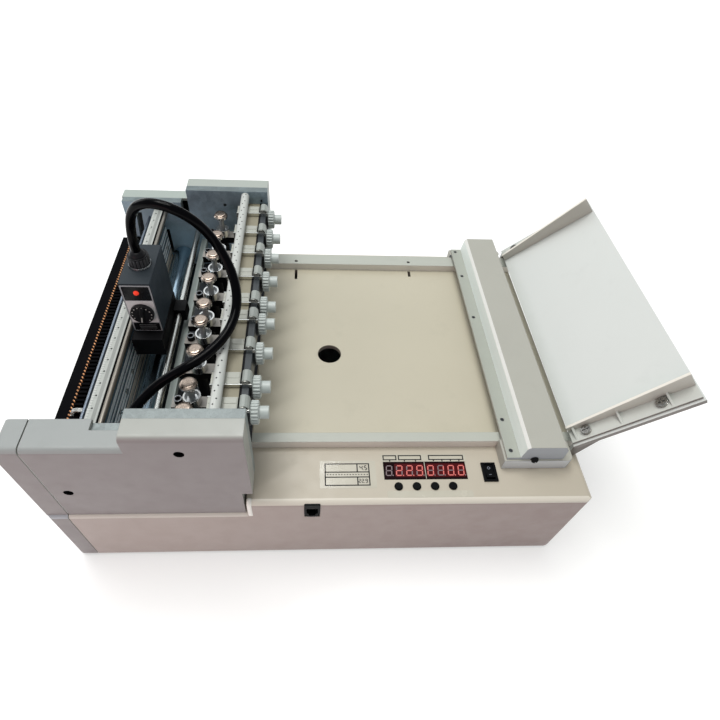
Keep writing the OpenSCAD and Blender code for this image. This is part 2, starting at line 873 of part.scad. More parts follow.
module motor_pinion() {
    color(steel) place() {
        rod_y(pinion_x, pinion_z, motor_shaft_d, gear_y, y_in + motor_l - 6);
        gear_at(pinion_x, pinion_z, pinion_teeth, mesh_turn);
    }
}

module solenoid() {
    r = solenoid_d / 2;
    z1 = solenoid_z + solenoid_h;
    difference() {
        union() {
            rod_z(plunger_x, plunger_y, solenoid_d, solenoid_z, z1);
            block([plunger_x - r, y_in, solenoid_z], [plunger_x + r, plunger_y, z1]);
        }
        rod_z(plunger_x, plunger_y, plunger_d + 2 * run_fit, solenoid_z + 5, z1 + 1);
    }
}

module knife_solenoids() {
    color(graphite) place() {
        solenoid();
        rear_twin() solenoid();
    }
}

module fixed_knife() {
    color(steel) place()
        block([table_x - fixed_knife_t, y_in, deck_z - 10], [table_x, y_far, deck_z]);
}

// Blade with a sheared lower edge, end blocks and the two solenoid plungers
module moving_knife() {
    y0 = y_in + 0.5;
    y1 = y_far - 0.5;
    color(steel) place() {
        along_x(knife_x, knife_x + knife_t) polygon([
            [y0, knife_low], [y1, knife_low + shear], [y1, knife_low + knife_h], [y0, knife_low + knife_h]
        ]);
        knife_end();
        rear_twin() knife_end();
    }
}

module knife_end() {
    z0 = knife_low + 2 * shear;
    block([plunger_x - 5, y_in + 2.5, z0], [knife_x + eps, y_in + 2.5 + knife_block_l, z0 + 14]);
    rod_z(plunger_x, plunger_y, plunger_d, solenoid_z + 7 + knife_travel, z0 + 1);
}

// Black bar across the outlet, with comb ribs along its top
module static_brush() {
    x0 = x_seam - brush_out;
    x1 = x0 + brush_w;
    z1 = brush_z + brush_t;
    pitch = inner_w / comb_teeth;
    color(black) place() {
        block([x0, y_in, brush_z], [x1, y_far, z1]);
        for (i = [0:comb_teeth - 1]) block([x1 - comb_l, y_in + (i + 0.25) * pitch, z1 - eps],
                                           [x1, y_in + (i + 0.75) * pitch, z1 + comb_h]);
    }
}

module scale_bars() {
    color(white) place() {
        rod_y(scale_x, scale_z, scale_d, y_in, y_far);
        block([ruler_x, y_in, ruler_z], [ruler_x + ruler_w, y_far, ruler_z + ruler_t]);
    }
}

// Round rods, the pale flat bar, the carriages' rail with its brown slide bar, and the ferrule of the cable
module cross_bars() {
    color(chrome) place() {
        rod_y(clamp_x, clamp_z, clamp_rod_d, y_in, y_far);
        rod_y(ruler_x + ruler_w + 2.2, ruler_z + 0.5, rod_d, y_in, y_far);
        rod_y(ruler_x - 5.8, ruler_z - 6, thin_rod_d, y_in, y_far);
        rod_y(x_seam + wall + 8, ledge_h - 18, tie_d, y_in, y_far);
        rod_y(x_foot - 10, ledge_h - 10, tie_d, y_in, y_far);
        block([clamp_x + 0.5, y_in, clamp_z - 19], [clamp_x + 0.5 + bar_w, y_far, clamp_z - 19 + bar_h]);
    }
    color(graphite) place() {
        block([rail_x, y_in, rail_z], [rail_x + rail_w, y_far, rail_z + rail_h]);
        rod_y(grommet_x, grommet_z, grommet_d, y_in, y_in + grommet_l);
    }
    color(brown) place() block([slide_x, y_in, slide_z], [rail_x + 1, y_far, slide_top]);
}

module guide_table() {
    color(brown) place() block([table_x, y_in, deck_z - 5], [x_panel - slip, y_far, deck_z]);
}

function carriage_y(i) = y_in + carriage_share[i] * inner_w;

// Saddle over the rail, press arm and press shoe
module carriage(i) {
    h = carriage_w / 2;
    color(zinc) place() translate([0, carriage_y(i), 0]) difference() {
        union() {
            block([saddle_x, -h, arm_z], [rail_x - slip, h, slide_z - slip]);
            block([saddle_x, -h, slide_z - slip - eps], [slide_x - slip, h, web_z]);
            block([saddle_x, -h, web_z - eps], [leg_x + leg_t, h, web_z + web_t]);
            block([leg_x, -h, rail_z + 3], [leg_x + leg_t, h, web_z]);
            rod_y(rail_x + clip_in, web_z + web_t + 0.6, clip_d, -h, h);
            block([arm_x, -arm_w / 2, arm_z], [saddle_x + 1, arm_w / 2, arm_z + arm_t]);
            rod_z(thumb_x, 0, post_d, shoe_z, arm_z + 1);
            block([thumb_x - 7.5, -arm_w / 2, shoe_z], [thumb_x + 7.5, arm_w / 2, shoe_z + shoe_h]);
            difference() {
                rod_z(cap_screw_x, 0, 5.5, arm_z, arm_z + arm_t + 4);
                translate([cap_screw_x, 0, arm_z + arm_t + 2]) cylinder(d = 3, h = 4, $fn = 6);
            }
        }
        rod_z(thumb_x, 0, thumb_shank_d + 2 * run_fit, arm_z - shank_reach - 2, arm_z + arm_t + 1);
        rod_x(0, knob_z, knob_screw_d + 2 * run_fit, leg_x - 1, leg_x + leg_t + 1);
        block([rail_x + 0.2, -h - 1, web_z + 0.9], [rail_x + 1.5, h + 1, web_z + web_t + 1]);
    }
}

// Mushroom head, neck, spring cup and shank
module thumb_screw(i) {
    z0 = arm_z + arm_t + slip;
    z1 = z0 + cup_h;
    z2 = z1 + neck_h;
    color(chrome) place() translate([thumb_x, carriage_y(i), 0]) rotate_extrude() polygon([
        [0, arm_z - shank_reach], [thumb_shank_d / 2, arm_z - shank_reach], [thumb_shank_d / 2, z0],
        [cup_d / 2, z0], [cup_d / 2, z1], [cup_d / 2 - 1.2, z1], [cup_d / 2 - 2.2, z1 - 3], [2.2, z1 - 3], [2.2, z2],
        [thumb_d / 2 - 1.2, z2 + 0.16 * thumb_h], [thumb_d / 2, z2 + 0.32 * thumb_h],
        [thumb_d / 2, z2 + 0.6 * thumb_h], [thumb_d / 2 - 0.8, z2 + 0.76 * thumb_h],
        [thumb_d / 2 - 3, z2 + 0.92 * thumb_h], [0, z2 + thumb_h]
    ]);
}

// Ribbed wheel, hub and the clamping screw that meets the rail
module lock_knob(i) {
    color(white) place() translate([0, carriage_y(i), 0]) {
        rod_x(0, knob_z, knob_screw_d, leg_x + 0.1, knob_x + 1);
        rod_x(0, knob_z, knob_d - rib_d, knob_x, knob_x + knob_w);
        for (a = [0:rib_count - 1]) translate([knob_x, 0, knob_z]) rotate([a * 360 / rib_count, 0, 0])
            rod_x(0, (knob_d - rib_d) / 2, rib_d, 0.4, knob_w - 0.4);
        rod_x(0, knob_z, hub_d, knob_x + knob_w - eps, knob_x + knob_w + hub_l);
    }
}

// Sensor box with its gland, bracket, lens tube and rod clamp
module sensor_head() {
    x1 = sensor_x + sensor_w / 2;
    x0 = x1 - sensor_w;
    y0 = sensor_y - sensor_l / 2;
    y1 = sensor_y + sensor_l / 2;
    color(graphite) place() difference() {
        union() {
            block([x0, y0, sensor_z], [x1, y1, sensor_z + sensor_h]);
            rod_z(sensor_x, sensor_y, gland_d, sensor_z + sensor_h - eps, sensor_z + sensor_h + gland_h);
            block([x0 - 0.5, y0 - 9, sensor_z - bracket_h], [x1 + 0.4, y1, sensor_z + eps]);
            rod_z(sensor_x, sensor_y, lens_d, sensor_z - bracket_h - lens_h, sensor_z - bracket_h + 1);
            block([x1, clamp_y - clamp_l / 2, clamp_z - clamp_w / 2],
                  [clamp_x + clamp_w / 2, clamp_y + clamp_l / 2, clamp_z + clamp_w / 2]);
        }
        rod_y(clamp_x, clamp_z, clamp_rod_d + 2 * run_fit, clamp_y - clamp_l, clamp_y + clamp_l);
        rod_y(sensor_x, dial_z, dial_pin_d + 2 * run_fit, y0 - 1, y0 + dial_pin_l + 1);
    }
}

// Adjusting dial with a pointer bar, on a pin in the sensor's front face
module sensor_dial() {
    y0 = sensor_y - sensor_l / 2;
    color(black) place() {
        rod_y(sensor_x, dial_z, dial_d, y0 - slip - dial_h, y0 - slip);
        rod_y(sensor_x, dial_z, dial_pin_d, y0 - slip - eps, y0 + dial_pin_l);
        translate([sensor_x, 0, dial_z]) rotate([0, dial_turn, 0])
            block([-1.2, y0 - slip - dial_h - 1.2, -dial_d * 0.42],
                  [1.2, y0 - slip - dial_h + eps, dial_d * 0.42]);
    }
}

function unit(v) = v / norm(v);

// Direction of the route at a point: straight up out of the gland, straight into the ferrule
function heading(p, i) = i == 0 ? [0, 0, 1] : i == len(p) - 1 ? [0, -1, 0] : unit(p[i + 1] - p[i - 1]);

// Ring of the tube at a point of its route; up is any direction that no stretch runs along
function ring(p, i, r, n, up) =
    let (t = heading(p, i), a = unit(cross(t, up)), b = cross(t, a))
    [for (k = [0:n - 1]) p[i] + r * (cos(360 * k / n) * a + sin(360 * k / n) * b)];

module sensor_cable() {
    n = cable_sides;
    m = len(cable_route);
    pts = [for (i = [0:m - 1]) each ring(cable_route, i, cable_d / 2, n, [1, 0.2, 0.4])];
    sides = [for (i = [0:m - 2], k = [0:n - 1]) let (a = i * n + k, b = i * n + (k + 1) % n)
        each [[a, b, b + n], [a, b + n, a + n]]];
    caps = concat([for (k = [1:n - 2]) [0, k + 1, k]],
                  [for (k = [1:n - 2]) [(m - 1) * n, (m - 1) * n + k, (m - 1) * n + k + 1]]);
    color(black) place() polyhedron(points = pts, faces = concat(sides, caps));
}

base_housing();
bottom_plate();
rubber_feet();
left_end_cover();
front_tower_cover();
rear_tower_cover();
side_plates();
deck_plate();
feed_bridge();
feed_tray();
tray_guides();
case_screws();
display_board();
switch_body();
switch_rocker();
front_socket();
feed_roller();
feed_motor();
motor_pinion();
knife_solenoids();
fixed_knife();
moving_knife();
static_brush();
scale_bars();
cross_bars();
guide_table();
sensor_head();
sensor_dial();
sensor_cable();
for (i = [0:3]) button(i);
for (i = [0:8]) carriage(i);
for (i = [0:8]) thumb_screw(i);
for (i = [0:8]) lock_knob(i);
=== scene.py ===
import math

import bmesh
import bpy
from mathutils import Matrix, Vector


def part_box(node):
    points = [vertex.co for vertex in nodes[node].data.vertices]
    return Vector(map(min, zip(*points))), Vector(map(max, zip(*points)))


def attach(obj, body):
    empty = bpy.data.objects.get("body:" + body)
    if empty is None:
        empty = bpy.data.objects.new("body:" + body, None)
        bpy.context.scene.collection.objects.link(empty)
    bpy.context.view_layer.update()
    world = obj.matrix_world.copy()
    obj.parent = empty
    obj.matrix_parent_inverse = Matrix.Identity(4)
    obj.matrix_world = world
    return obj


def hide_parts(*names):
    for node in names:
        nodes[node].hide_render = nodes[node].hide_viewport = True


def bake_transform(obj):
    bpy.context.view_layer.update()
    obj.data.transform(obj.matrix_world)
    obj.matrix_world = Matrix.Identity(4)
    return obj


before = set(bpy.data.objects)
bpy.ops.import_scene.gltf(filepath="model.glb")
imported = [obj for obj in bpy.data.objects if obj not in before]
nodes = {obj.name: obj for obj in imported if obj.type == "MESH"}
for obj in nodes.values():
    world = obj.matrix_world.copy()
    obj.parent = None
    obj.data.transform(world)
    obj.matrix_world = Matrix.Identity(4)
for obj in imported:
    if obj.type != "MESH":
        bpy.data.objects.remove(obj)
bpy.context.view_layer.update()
scene = bpy.context.scene

# Lengths are machine millimetres: x from the left end, y from the front wall, z from the base's lower edge.
# The base housing starts where the end cover's length is over.
MM = 0.001
END_COVER_L = 15
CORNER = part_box("base_housing")[0] - Vector((END_COVER_L, 0, 0)) * MM
UP = (0, 0, 1)


def P(x, y, z):
    """A point in machine millimetres as a point of the frame in metres."""
    return CORNER + Vector((x, y, z)) * MM


# The tower's inner faces, the carriages' places between them, the thumb screws' axis and the sensor's middle
Y_IN, Y_FAR = 23.5, 254.0
CARRIAGE_SHARES = [0.043, 0.13, 0.257, 0.38, 0.457, 0.581, 0.704, 0.818, 0.94]
CARRIAGE_Y = [Y_IN + s * (Y_FAR - Y_IN) for s in CARRIAGE_SHARES]
THUMB_X = 104.5
SENSOR_X = 66.5
SENSOR_Y = Y_IN + 0.462 * (Y_FAR - Y_IN)


# Camera, fitted to the straight edges in the photograph
IMAGE_PX = 720
FOCAL_PX = 515.6
MIDDLE_PX = (339.4, 362.6)
FILM_MM = 36
YAW, PITCH, ROLL = math.radians(5.34), math.radians(50.18), math.radians(-4.4)
EYE = (182.6, -153.2, 425.6)


def add_object(name, data):
    ob = bpy.data.objects.new(name, data)
    scene.collection.objects.link(ob)
    return ob


cam_data = bpy.data.cameras.new("camera")
cam = add_object("camera", cam_data)
scene.camera = cam
forward = Vector((math.sin(YAW) * math.cos(PITCH), math.cos(YAW) * math.cos(PITCH), -math.sin(PITCH)))
level = Vector((math.cos(YAW), -math.sin(YAW), 0))
steep = forward.cross(level)
right = math.cos(ROLL) * level + math.sin(ROLL) * steep
down = -math.sin(ROLL) * level + math.cos(ROLL) * steep
cam.matrix_world = Matrix.Translation(P(*EYE)) @ Matrix((right, -down, -forward)).transposed().to_4x4()
cam_data.sensor_width = FILM_MM
cam_data.lens = FILM_MM * FOCAL_PX / IMAGE_PX
cam_data.shift_x = (IMAGE_PX / 2 - MIDDLE_PX[0]) / IMAGE_PX
cam_data.shift_y = (MIDDLE_PX[1] - IMAGE_PX / 2) / IMAGE_PX
cam_data.clip_start, cam_data.clip_end = 0.01, 30


# Mesh helpers
def obj_from(bm, name, *mats, smooth=False):
    """Mesh object from bm, with its normals facing out."""
    me = bpy.data.meshes.new(name)
    bmesh.ops.recalc_face_normals(bm, faces=bm.faces)
    bm.to_mesh(me)
    bm.free()
    for p in me.polygons:
        p.use_smooth = smooth
    for mat in mats:
        me.materials.append(mat)
    return add_object(name, me)


def add_piece(bm, name, body, slot, *mats, smooth=False):
    """Piece that rides on a body, with the materials given; slot is not used."""
    ob = obj_from(bm, name, *mats, smooth=smooth)
    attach(ob, body)


def add_box(bm, lo, hi):
    m = Matrix.Translation((lo + hi) / 2) @ Matrix.Diagonal((*(hi - lo), 1))
    bmesh.ops.create_cube(bm, size=1, matrix=m)


def break_edges(bm, width):
    bmesh.ops.bevel(bm, geom=bm.edges[:], offset=width * MM, segments=2, profile=0.5, affect="EDGES")


def add_cyl(bm, centre, axis, r, h, top_r=None, seg=24):
    turn = Vector(UP).rotation_difference(Vector(axis)).to_matrix().to_4x4()
    bmesh.ops.create_cone(bm, cap_ends=True, segments=seg, radius1=r * MM, radius2=(top_r or r) * MM, depth=h * MM,
                          matrix=Matrix.Translation(centre) @ turn)


def join_rings(bm, rings):
    """Quads between neighbouring rings of vertices."""
    faces = []
    for a, b in zip(rings, rings[1:]):
        for i in range(len(a)):
            j = (i + 1) % len(a)
            faces.append(bm.faces.new((a[i], a[j], b[j], b[i])))
    return faces


def add_prism(bm, outline, z0, z1):
    """Closed prism over an outline in x and y."""
    low, high = [[bm.verts.new(P(x, y, z)) for x, y in outline] for z in (z0, z1)]
    bm.faces.new(low[::-1])
    bm.faces.new(high)
    join_rings(bm, (low, high))


def add_slab(bm, outline, y0, y1, mat=0):
    """Closed prism over an outline in x and z; mat is its place in the piece's materials."""
    ends = [[bm.verts.new(P(x, y, z)) for x, z in outline] for y in (y0, y1)]
    faces = [bm.faces.new(ends[0]), bm.faces.new(ends[1][::-1])]
    for f in faces + join_rings(bm, ends):
        f.material_index = mat


def add_loft(bm, rings):
    """Closed skin over rings of vertices."""
    join_rings(bm, rings)
    bm.faces.new(rings[0][::-1])
    bm.faces.new(rings[-1])


def circle(n):
    """Cosine and sine of n equal steps of a full turn."""
    return [(math.cos(2 * math.pi * k / n), math.sin(2 * math.pi * k / n)) for k in range(n)]


def add_tube(bm, path, radius, sides):
    """Closed round tube along a path; radius is one number, or a list with one for each point."""
    rings = []
    side = None
    for i, p in enumerate(path):
        along = (path[min(i + 1, len(path) - 1)] - path[max(i - 1, 0)]).normalized()
        if side is None:
            side = along.orthogonal().normalized()
        side = (side - along * side.dot(along)).normalized()
        up = along.cross(side)
        r = (radius[i] if isinstance(radius, list) else radius) * MM
        rings.append([bm.verts.new(p + r * (c * side + s * up)) for c, s in circle(sides)])
    add_loft(bm, rings)


def add_lathe(bm, axis, profile, n=40):
    """Turned form about a vertical axis; profile gives radius and height, from axis to axis."""
    rows = []
    for r, z in profile:
        places = [(r * c, r * s) for c, s in circle(n)] if r else [(0, 0)]
        rows.append([bm.verts.new(axis + Vector((x, y, z)) * MM) for x, y in places])
    for a, b in zip(rows, rows[1:]):
        for k in range(n):
            j = (k + 1) % n
            if len(a) == 1:
                bm.faces.new((a[0], b[k], b[j]))
            elif len(b) == 1:
                bm.faces.new((a[k], a[j], b[0]))
            else:
                bm.faces.new((a[k], a[j], b[j], b[k]))


def round_rect(x0, y0, x1, y1, r, n=6):
    pts = []
    for cx, cy, start in ((x1 - r, y0 + r, -90), (x1 - r, y1 - r, 0), (x0 + r, y1 - r, 90), (x0 + r, y0 + r, 180)):
        for i in range(n + 1):
            a = math.radians(start + 90 * i / n)
            pts.append((cx + r * math.cos(a), cy + r * math.sin(a)))
    return pts


def spline(pts, per):
    """Points along a smooth curve through pts, per of them for each stretch."""
    out = []
    last = len(pts) - 1
    for i in range(last):
        p0, p1, p2, p3 = pts[max(i - 1, 0)], pts[i], pts[i + 1], pts[min(i + 2, last)]
        for k in range(per):
            t = k / per
            out.append(0.5 * ((2 * p1) + (p2 - p0) * t + (2 * p0 - 5 * p1 + 4 * p2 - p3) * t * t
                              + (3 * p1 - p0 - 3 * p2 + p3) * t ** 3))
    out.append(pts[-1].copy())
    return out


# Material helpers
class Mat:
    """A material of one Principled shader, with short names for the nodes that feed it.

    Noise scales are per metre: 14 gives clouds of about 70 mm, 1800 a grain of about half a millimetre."""

    def __init__(self, name):
        self.m = bpy.data.materials.new(name)
        self.m.use_nodes = True
        self.t = self.m.node_tree
        self.b = self.t.nodes["Principled BSDF"]
        self.co = self.t.nodes.new("ShaderNodeTexCoord").outputs["Object"]

    def feed(self, socket, v):
        """Links what comes from a node, and sets a constant on the socket itself."""
        if isinstance(v, bpy.types.NodeSocket):
            self.t.links.new(v, socket)
        else:
            socket.default_value = v

    def shader(self, values):
        for name, v in values.items():
            self.feed(self.b.inputs[name], v)

    def node(self, kind, inputs, **settings):
        n = self.t.nodes.new(kind)
        for k, v in settings.items():
            setattr(n, k, v)
        for k, v in inputs.items():
            self.feed(n.inputs[k], v)
        return n

    def stretched(self, scale):
        return self.node("ShaderNodeMapping", {"Vector": self.co, "Scale": scale}).outputs["Vector"]

    def noise(self, scale, detail=3, rough=0.5, vec=None):
        inputs = {"Vector": vec or self.co, "Scale": scale, "Detail": detail, "Roughness": rough}
        return self.node("ShaderNodeTexNoise", inputs).outputs["Fac"]

    def cells(self, scale):
        voronoi = self.node("ShaderNodeTexVoronoi", {"Vector": self.co, "Scale": scale})
        return self.node("ShaderNodeSeparateColor", {"Color": voronoi.outputs["Color"]}).outputs["Red"]

    def remap(self, v, a, b, lo=0.0, hi=1.0):
        """v from lo..hi taken to a..b."""
        inputs = {"Value": v, "From Min": lo, "From Max": hi, "To Min": a, "To Max": b}
        return self.node("ShaderNodeMapRange", inputs).outputs["Result"]

    def mix(self, fac, a, b, blend="MIX"):
        """Mixes two colours; 0, 6 and 7 are the node's factor and colour sockets, 2 its colour output."""
        a, b = [(*v, 1) if isinstance(v, tuple) else v for v in (a, b)]
        return self.node("ShaderNodeMix", {0: fac, 6: a, 7: b}, data_type="RGBA", blend_type=blend).outputs[2]

    def math(self, op, a, b):
        return self.node("ShaderNodeMath", {0: a, 1: b}, operation=op).outputs[0]

    def axis(self, name, vec=None):
        return self.node("ShaderNodeSeparateXYZ", {0: vec or self.co}).outputs[name]

    def normal(self):
        return self.node("ShaderNodeNewGeometry", {}).outputs["Normal"]

    def facing_front(self):
        """1 on faces that look to the front, 0 on the others."""
        return self.remap(self.axis("Y", self.normal()), 1.0, 0.0, -0.9, -0.3)

    def edges(self, r):
        """1 on convex edges, 0 on flats; and the normal that rounds those edges."""
        rounded = self.node("ShaderNodeBevel", {"Radius": r}, samples=4).outputs["Normal"]
        dot = self.node("ShaderNodeVectorMath", {0: rounded, 1: self.normal()}, operation="DOT_PRODUCT")
        return self.remap(dot.outputs["Value"], 1.0, 0.0, 0.8, 0.995), rounded

    def bump(self, height, strength, distance, normal):
        n = self.node("ShaderNodeBump", {"Strength": strength, "Distance": distance, "Height": height})
        if normal:
            self.feed(n.inputs["Normal"], normal)
        self.shader({"Normal": n.outputs["Normal"]})


def shade(c, k):
    return tuple(min(1.0, x * k) for x in c)


# In metres of the frame: x where the painted light and shade on the front faces begins and ends, depths of the bumps,
# z where the painted light on the zinc's foot ends
FRONT_SHADE_ENDS = (-0.14, 0.166)
GRAIN_DEPTH, STREAK_DEPTH, SPANGLE_DEPTH = 0.00012, 0.00005, 0.00006
ZINC_FOOT_PAINTED_LIGHT = (0.105, 0.160)


def plastic(name, colour, rough=0.45, grain=1800, strength=0.25, var=0.05, edge=0.0006, edge_wear_and_highlight=1.06, dirt=0.9,
            spec=0.5, front=None, bands=()):
    """Moulded plastic: fine grain, faint clouds in colour, lighter convex edges that are partly worn and partly a
    painted highlight, some grime in the clouds.

    front is painted shade and painted light on the faces that look to the front: it multiplies their colour by one
    colour at the left end and one at the right end, darker where these are below one and lighter where above.
    bands gives (x0, x1, factor) in machine millimetres: lengthwise stripes that are lighter or darker."""
    m = Mat(name)
    col = m.mix(m.noise(14, 4, 0.55), shade(colour, 1 - var), shade(colour, 1 + var))
    grime = m.remap(m.noise(45, 6, 0.65), 0, 1, 0.58, 0.78)
    col = m.mix(m.math("MULTIPLY", grime, 0.5), col, shade(colour, dirt))
    fine = m.noise(grain, 2, 0.6)
    col = m.mix(m.remap(fine, 0, 0.12, 0.55, 0.9), col, shade(colour, 0.75))
    rounded = None
    # Lighter convex edges: partly worn, partly a painted highlight on edges that catch the light
    if edge:
        convex_edges, rounded = m.edges(edge)
        col = m.mix(m.math("MULTIPLY", convex_edges, 0.6), col, shade(colour, edge_wear_and_highlight))
    # Painted shade and painted light on the faces that look to the front, blended along x from the left end's colour
    # to the right end's
    if front:
        front_shade = m.mix(m.remap(m.axis("X"), 0, 1, *FRONT_SHADE_ENDS), *front)
        col = m.mix(m.facing_front(), col, front_shade, "MULTIPLY")
    for x0, x1, k in bands:
        past = m.math("GREATER_THAN", m.axis("X"), P(x0, 0, 0).x)
        before = m.math("LESS_THAN", m.axis("X"), P(x1, 0, 0).x)
        col = m.mix(m.math("MULTIPLY", past, before), col, (k, k, k), "MULTIPLY")
    gloss = m.remap(m.noise(90, 3), rough - 0.07, rough + 0.08, 0.3, 0.7)
    m.shader({"Base Color": col, "Roughness": gloss, "Specular IOR Level": spec})
    m.bump(fine, strength, GRAIN_DEPTH, rounded)
    return m.m


def metal(name, colour, rough, stretch, scale, var=0.08, edge=0.0003, strength=0.3, shine=1.0):
    """Ground or drawn metal: streaks along one axis, smudges in the gloss, bright edges."""
    m = Mat(name)
    streak = m.noise(scale, 3, 0.6, m.stretched(stretch))
    cloud = m.noise(30, 4, 0.6)
    col = m.mix(streak, shade(colour, 1 - var), shade(colour, 1 + var))
    col = m.mix(m.remap(cloud, 0, 0.35, 0.5, 0.8), col, shade(colour, 0.72))
    rounded = None
    if edge:
        convex_edges, rounded = m.edges(edge)
        col = m.mix(m.math("MULTIPLY", convex_edges, 0.5), col, shade(colour, 1.2))
    gloss = m.remap(m.math("ADD", streak, cloud), rough * 0.75, rough * 1.35, 0.7, 1.3)
    m.shader({"Base Color": col, "Metallic": shine, "Roughness": gloss})
    m.bump(streak, strength, STREAK_DEPTH, rounded)
    return m.m


def zinc(name, colour, cloudy=0.0, low=1.0):
    """Galvanised sheet: spangle cells over a mottled ground.

    cloudy is the strength of broad pale patches, and the foot of the sheet is low times as bright, a painted light
    where the foot lies in shade."""
    m = Mat(name)
    mottle = m.noise(60, 4, 0.6)
    spangle = m.cells(160)
    fine = m.cells(420)
    col = m.mix(m.math("MULTIPLY", spangle, 0.75), shade(colour, 0.78), shade(colour, 1.22))
    col = m.mix(m.math("MULTIPLY", fine, 0.4), col, shade(colour, 0.74))
    col = m.mix(m.remap(mottle, 0, 0.6, 0.48, 0.72), col, shade(colour, 0.58))
    col = m.mix(m.remap(m.noise(1100, 2, 0.6), 0, 0.55, 0.55, 0.75), col, shade(colour, 0.5))
    convex_edges, rounded = m.edges(0.0003)
    col = m.mix(m.math("MULTIPLY", convex_edges, 0.5), col, shade(colour, 1.25))
    if cloudy:
        col = m.mix(m.remap(m.noise(38, 3, 0.6), 0, cloudy, 0.45, 0.7), col, shade(colour, 1.6))
    # Painted light at the sheet's foot, where it lies in shade
    if low != 1.0:
        col = m.mix(m.remap(m.axis("Z"), 1.0, 0.0, *ZINC_FOOT_PAINTED_LIGHT), col, shade(colour, low))
    gloss = m.remap(m.math("ADD", spangle, mottle), 0.34, 0.58, 0.3, 1.4)
    m.shader({"Base Color": col, "Metallic": 0.35, "Roughness": gloss})
    m.bump(m.math("ADD", fine, mottle), 0.12, SPANGLE_DEPTH, rounded)
    return m.m


def glow(name, colour, light, strength=1.0):
    """Lit plastic."""
    m = Mat(name)
    v = m.noise(900, 2)
    m.shader({"Base Color": m.mix(v, shade(colour, 0.85), colour), "Roughness": m.remap(v, 0.25, 0.4),
              "Emission Color": (*light, 1), "Emission Strength": strength, "Specular IOR Level": 0.1})
    return m.m


# Mouldings. The light is pink on the front faces, so the base and the towers have a painted shade there, darker
# towards the base's right end, and the bridge and its foot have a painted light there.
MOULDED = {"rough": 0.42, "var": 0.03}
# On the towers the lighter convex edges are mostly a painted highlight
TOWER = {**MOULDED, "edge": 0.0008, "edge_wear_and_highlight": 1.3}
REAR = {**MOULDED, "edge": 0.0008, "edge_wear_and_highlight": 1.2}
M_MOULD = plastic("moulding", (0.442, 0.40, 0.324), **MOULDED, edge_wear_and_highlight=1.2,
                  front=((0.93, 0.855, 0.955), (0.615, 0.51, 0.58)))
# Painted highlight for the panel's rounded front edge
M_EDGE_HIGHLIGHT = plastic("moulding_edge_painted_highlight", (0.64, 0.60, 0.52), **MOULDED)
# Pale painted highlight for the rounded corner where the panel steps down
M_CORNER_HIGHLIGHT = plastic("panel_corner_painted_highlight", (0.93, 0.90, 0.84), **MOULDED)
# Painted light for the rounded top of the ledge in front of the tower
M_LEDGE_PAINTED_LIGHT = plastic("moulding_ledge_painted_light", (0.64, 0.60, 0.54), **MOULDED)
M_TOWER = plastic("tower_moulding", (0.352, 0.362, 0.336), **TOWER, front=((0.70, 0.605, 0.645), (0.72, 0.63, 0.68)))
# Copy of the tower moulding for the low top: painted light and shade, darker and greener on the flat, lighter than the
# front faces on the rounded edge
M_LOW_TOP_LIGHT_AND_SHADE = plastic("tower_low_top_painted_light_and_shade", (0.297, 0.316, 0.312), **TOWER)
M_REAR = plastic("rear_moulding", (0.358, 0.391, 0.36), **REAR)
# Copy of the rear moulding for its low top: painted light and shade
M_REAR_LOW_TOP_LIGHT_AND_SHADE = plastic("rear_low_top_painted_light_and_shade", (0.336, 0.384, 0.356), **REAR)
# Painted light for the end cover's ledge
M_POST_PAINTED_LIGHT = plastic("post_ledge_painted_light", (0.42, 0.45, 0.48), **MOULDED)
M_BRIDGE = plastic("bridge_moulding", (0.375, 0.372, 0.33), **MOULDED, front=((1.0, 1.1, 1.3), (0.97, 1.06, 1.3)))
# Copies of the bridge moulding: painted light on the slope, the slope's wall and the foot's front faces, painted shade
# on the flange tops
M_SLOPE_PAINTED_LIGHT = plastic("bridge_slope_painted_light", (0.66, 0.66, 0.63), **MOULDED)
M_BRIDGE_WALL_PAINTED_LIGHT = plastic("bridge_wall_painted_light", (0.76, 0.82, 0.78), **MOULDED)
M_FLANGE_PAINTED_SHADE = plastic("bridge_flange_painted_shade", (0.325, 0.343, 0.302), **MOULDED)
M_FOOT_PAINTED_LIGHT = plastic("bridge_foot", (0.65, 0.65, 0.58), **MOULDED, front=((1.0, 1.06, 1.2), (0.97, 1.03, 1.2)))
M_TRAY = plastic("tray_moulding", (0.58, 0.60, 0.58), 0.4, var=0.03)
M_GUIDE = plastic("guide_flange", (0.505, 0.52, 0.485), 0.4, var=0.03)
# Copies for the guides' and the tray's faces: painted light on the guide wall, a painted highlight on the guide rim,
# painted shade on the front faces of tray and guides, darkest on the brace
M_GUIDE_WALL_PAINTED_LIGHT = plastic("guide_wall_painted_light", (0.565, 0.545, 0.49), 0.4, var=0.04)
M_GUIDE_RIM_HIGHLIGHT = plastic("guide_rim_painted_highlight", (0.74, 0.71, 0.64), 0.4, var=0.03)
M_TRAY_SIDE_SHADE = plastic("tray_side", (0.22, 0.198, 0.18), 0.45, var=0.06)
M_BRACE_SHADE = plastic("tray_brace_painted_shade", (0.155, 0.137, 0.12), 0.45, var=0.06)
M_DECK = plastic("deck_cream", (0.464, 0.43, 0.335), 0.38, grain=1200, var=0.04, dirt=0.88)
M_RIM = plastic("deck_rim", (0.405, 0.42, 0.374), 0.38, grain=1200, var=0.04, dirt=0.88)
# Painted light for the rim's front faces
M_RIM_SIDE_PAINTED_LIGHT = plastic("deck_rim_side_painted_light", (0.80, 0.76, 0.70), 0.38, grain=1200, var=0.04, dirt=0.9)

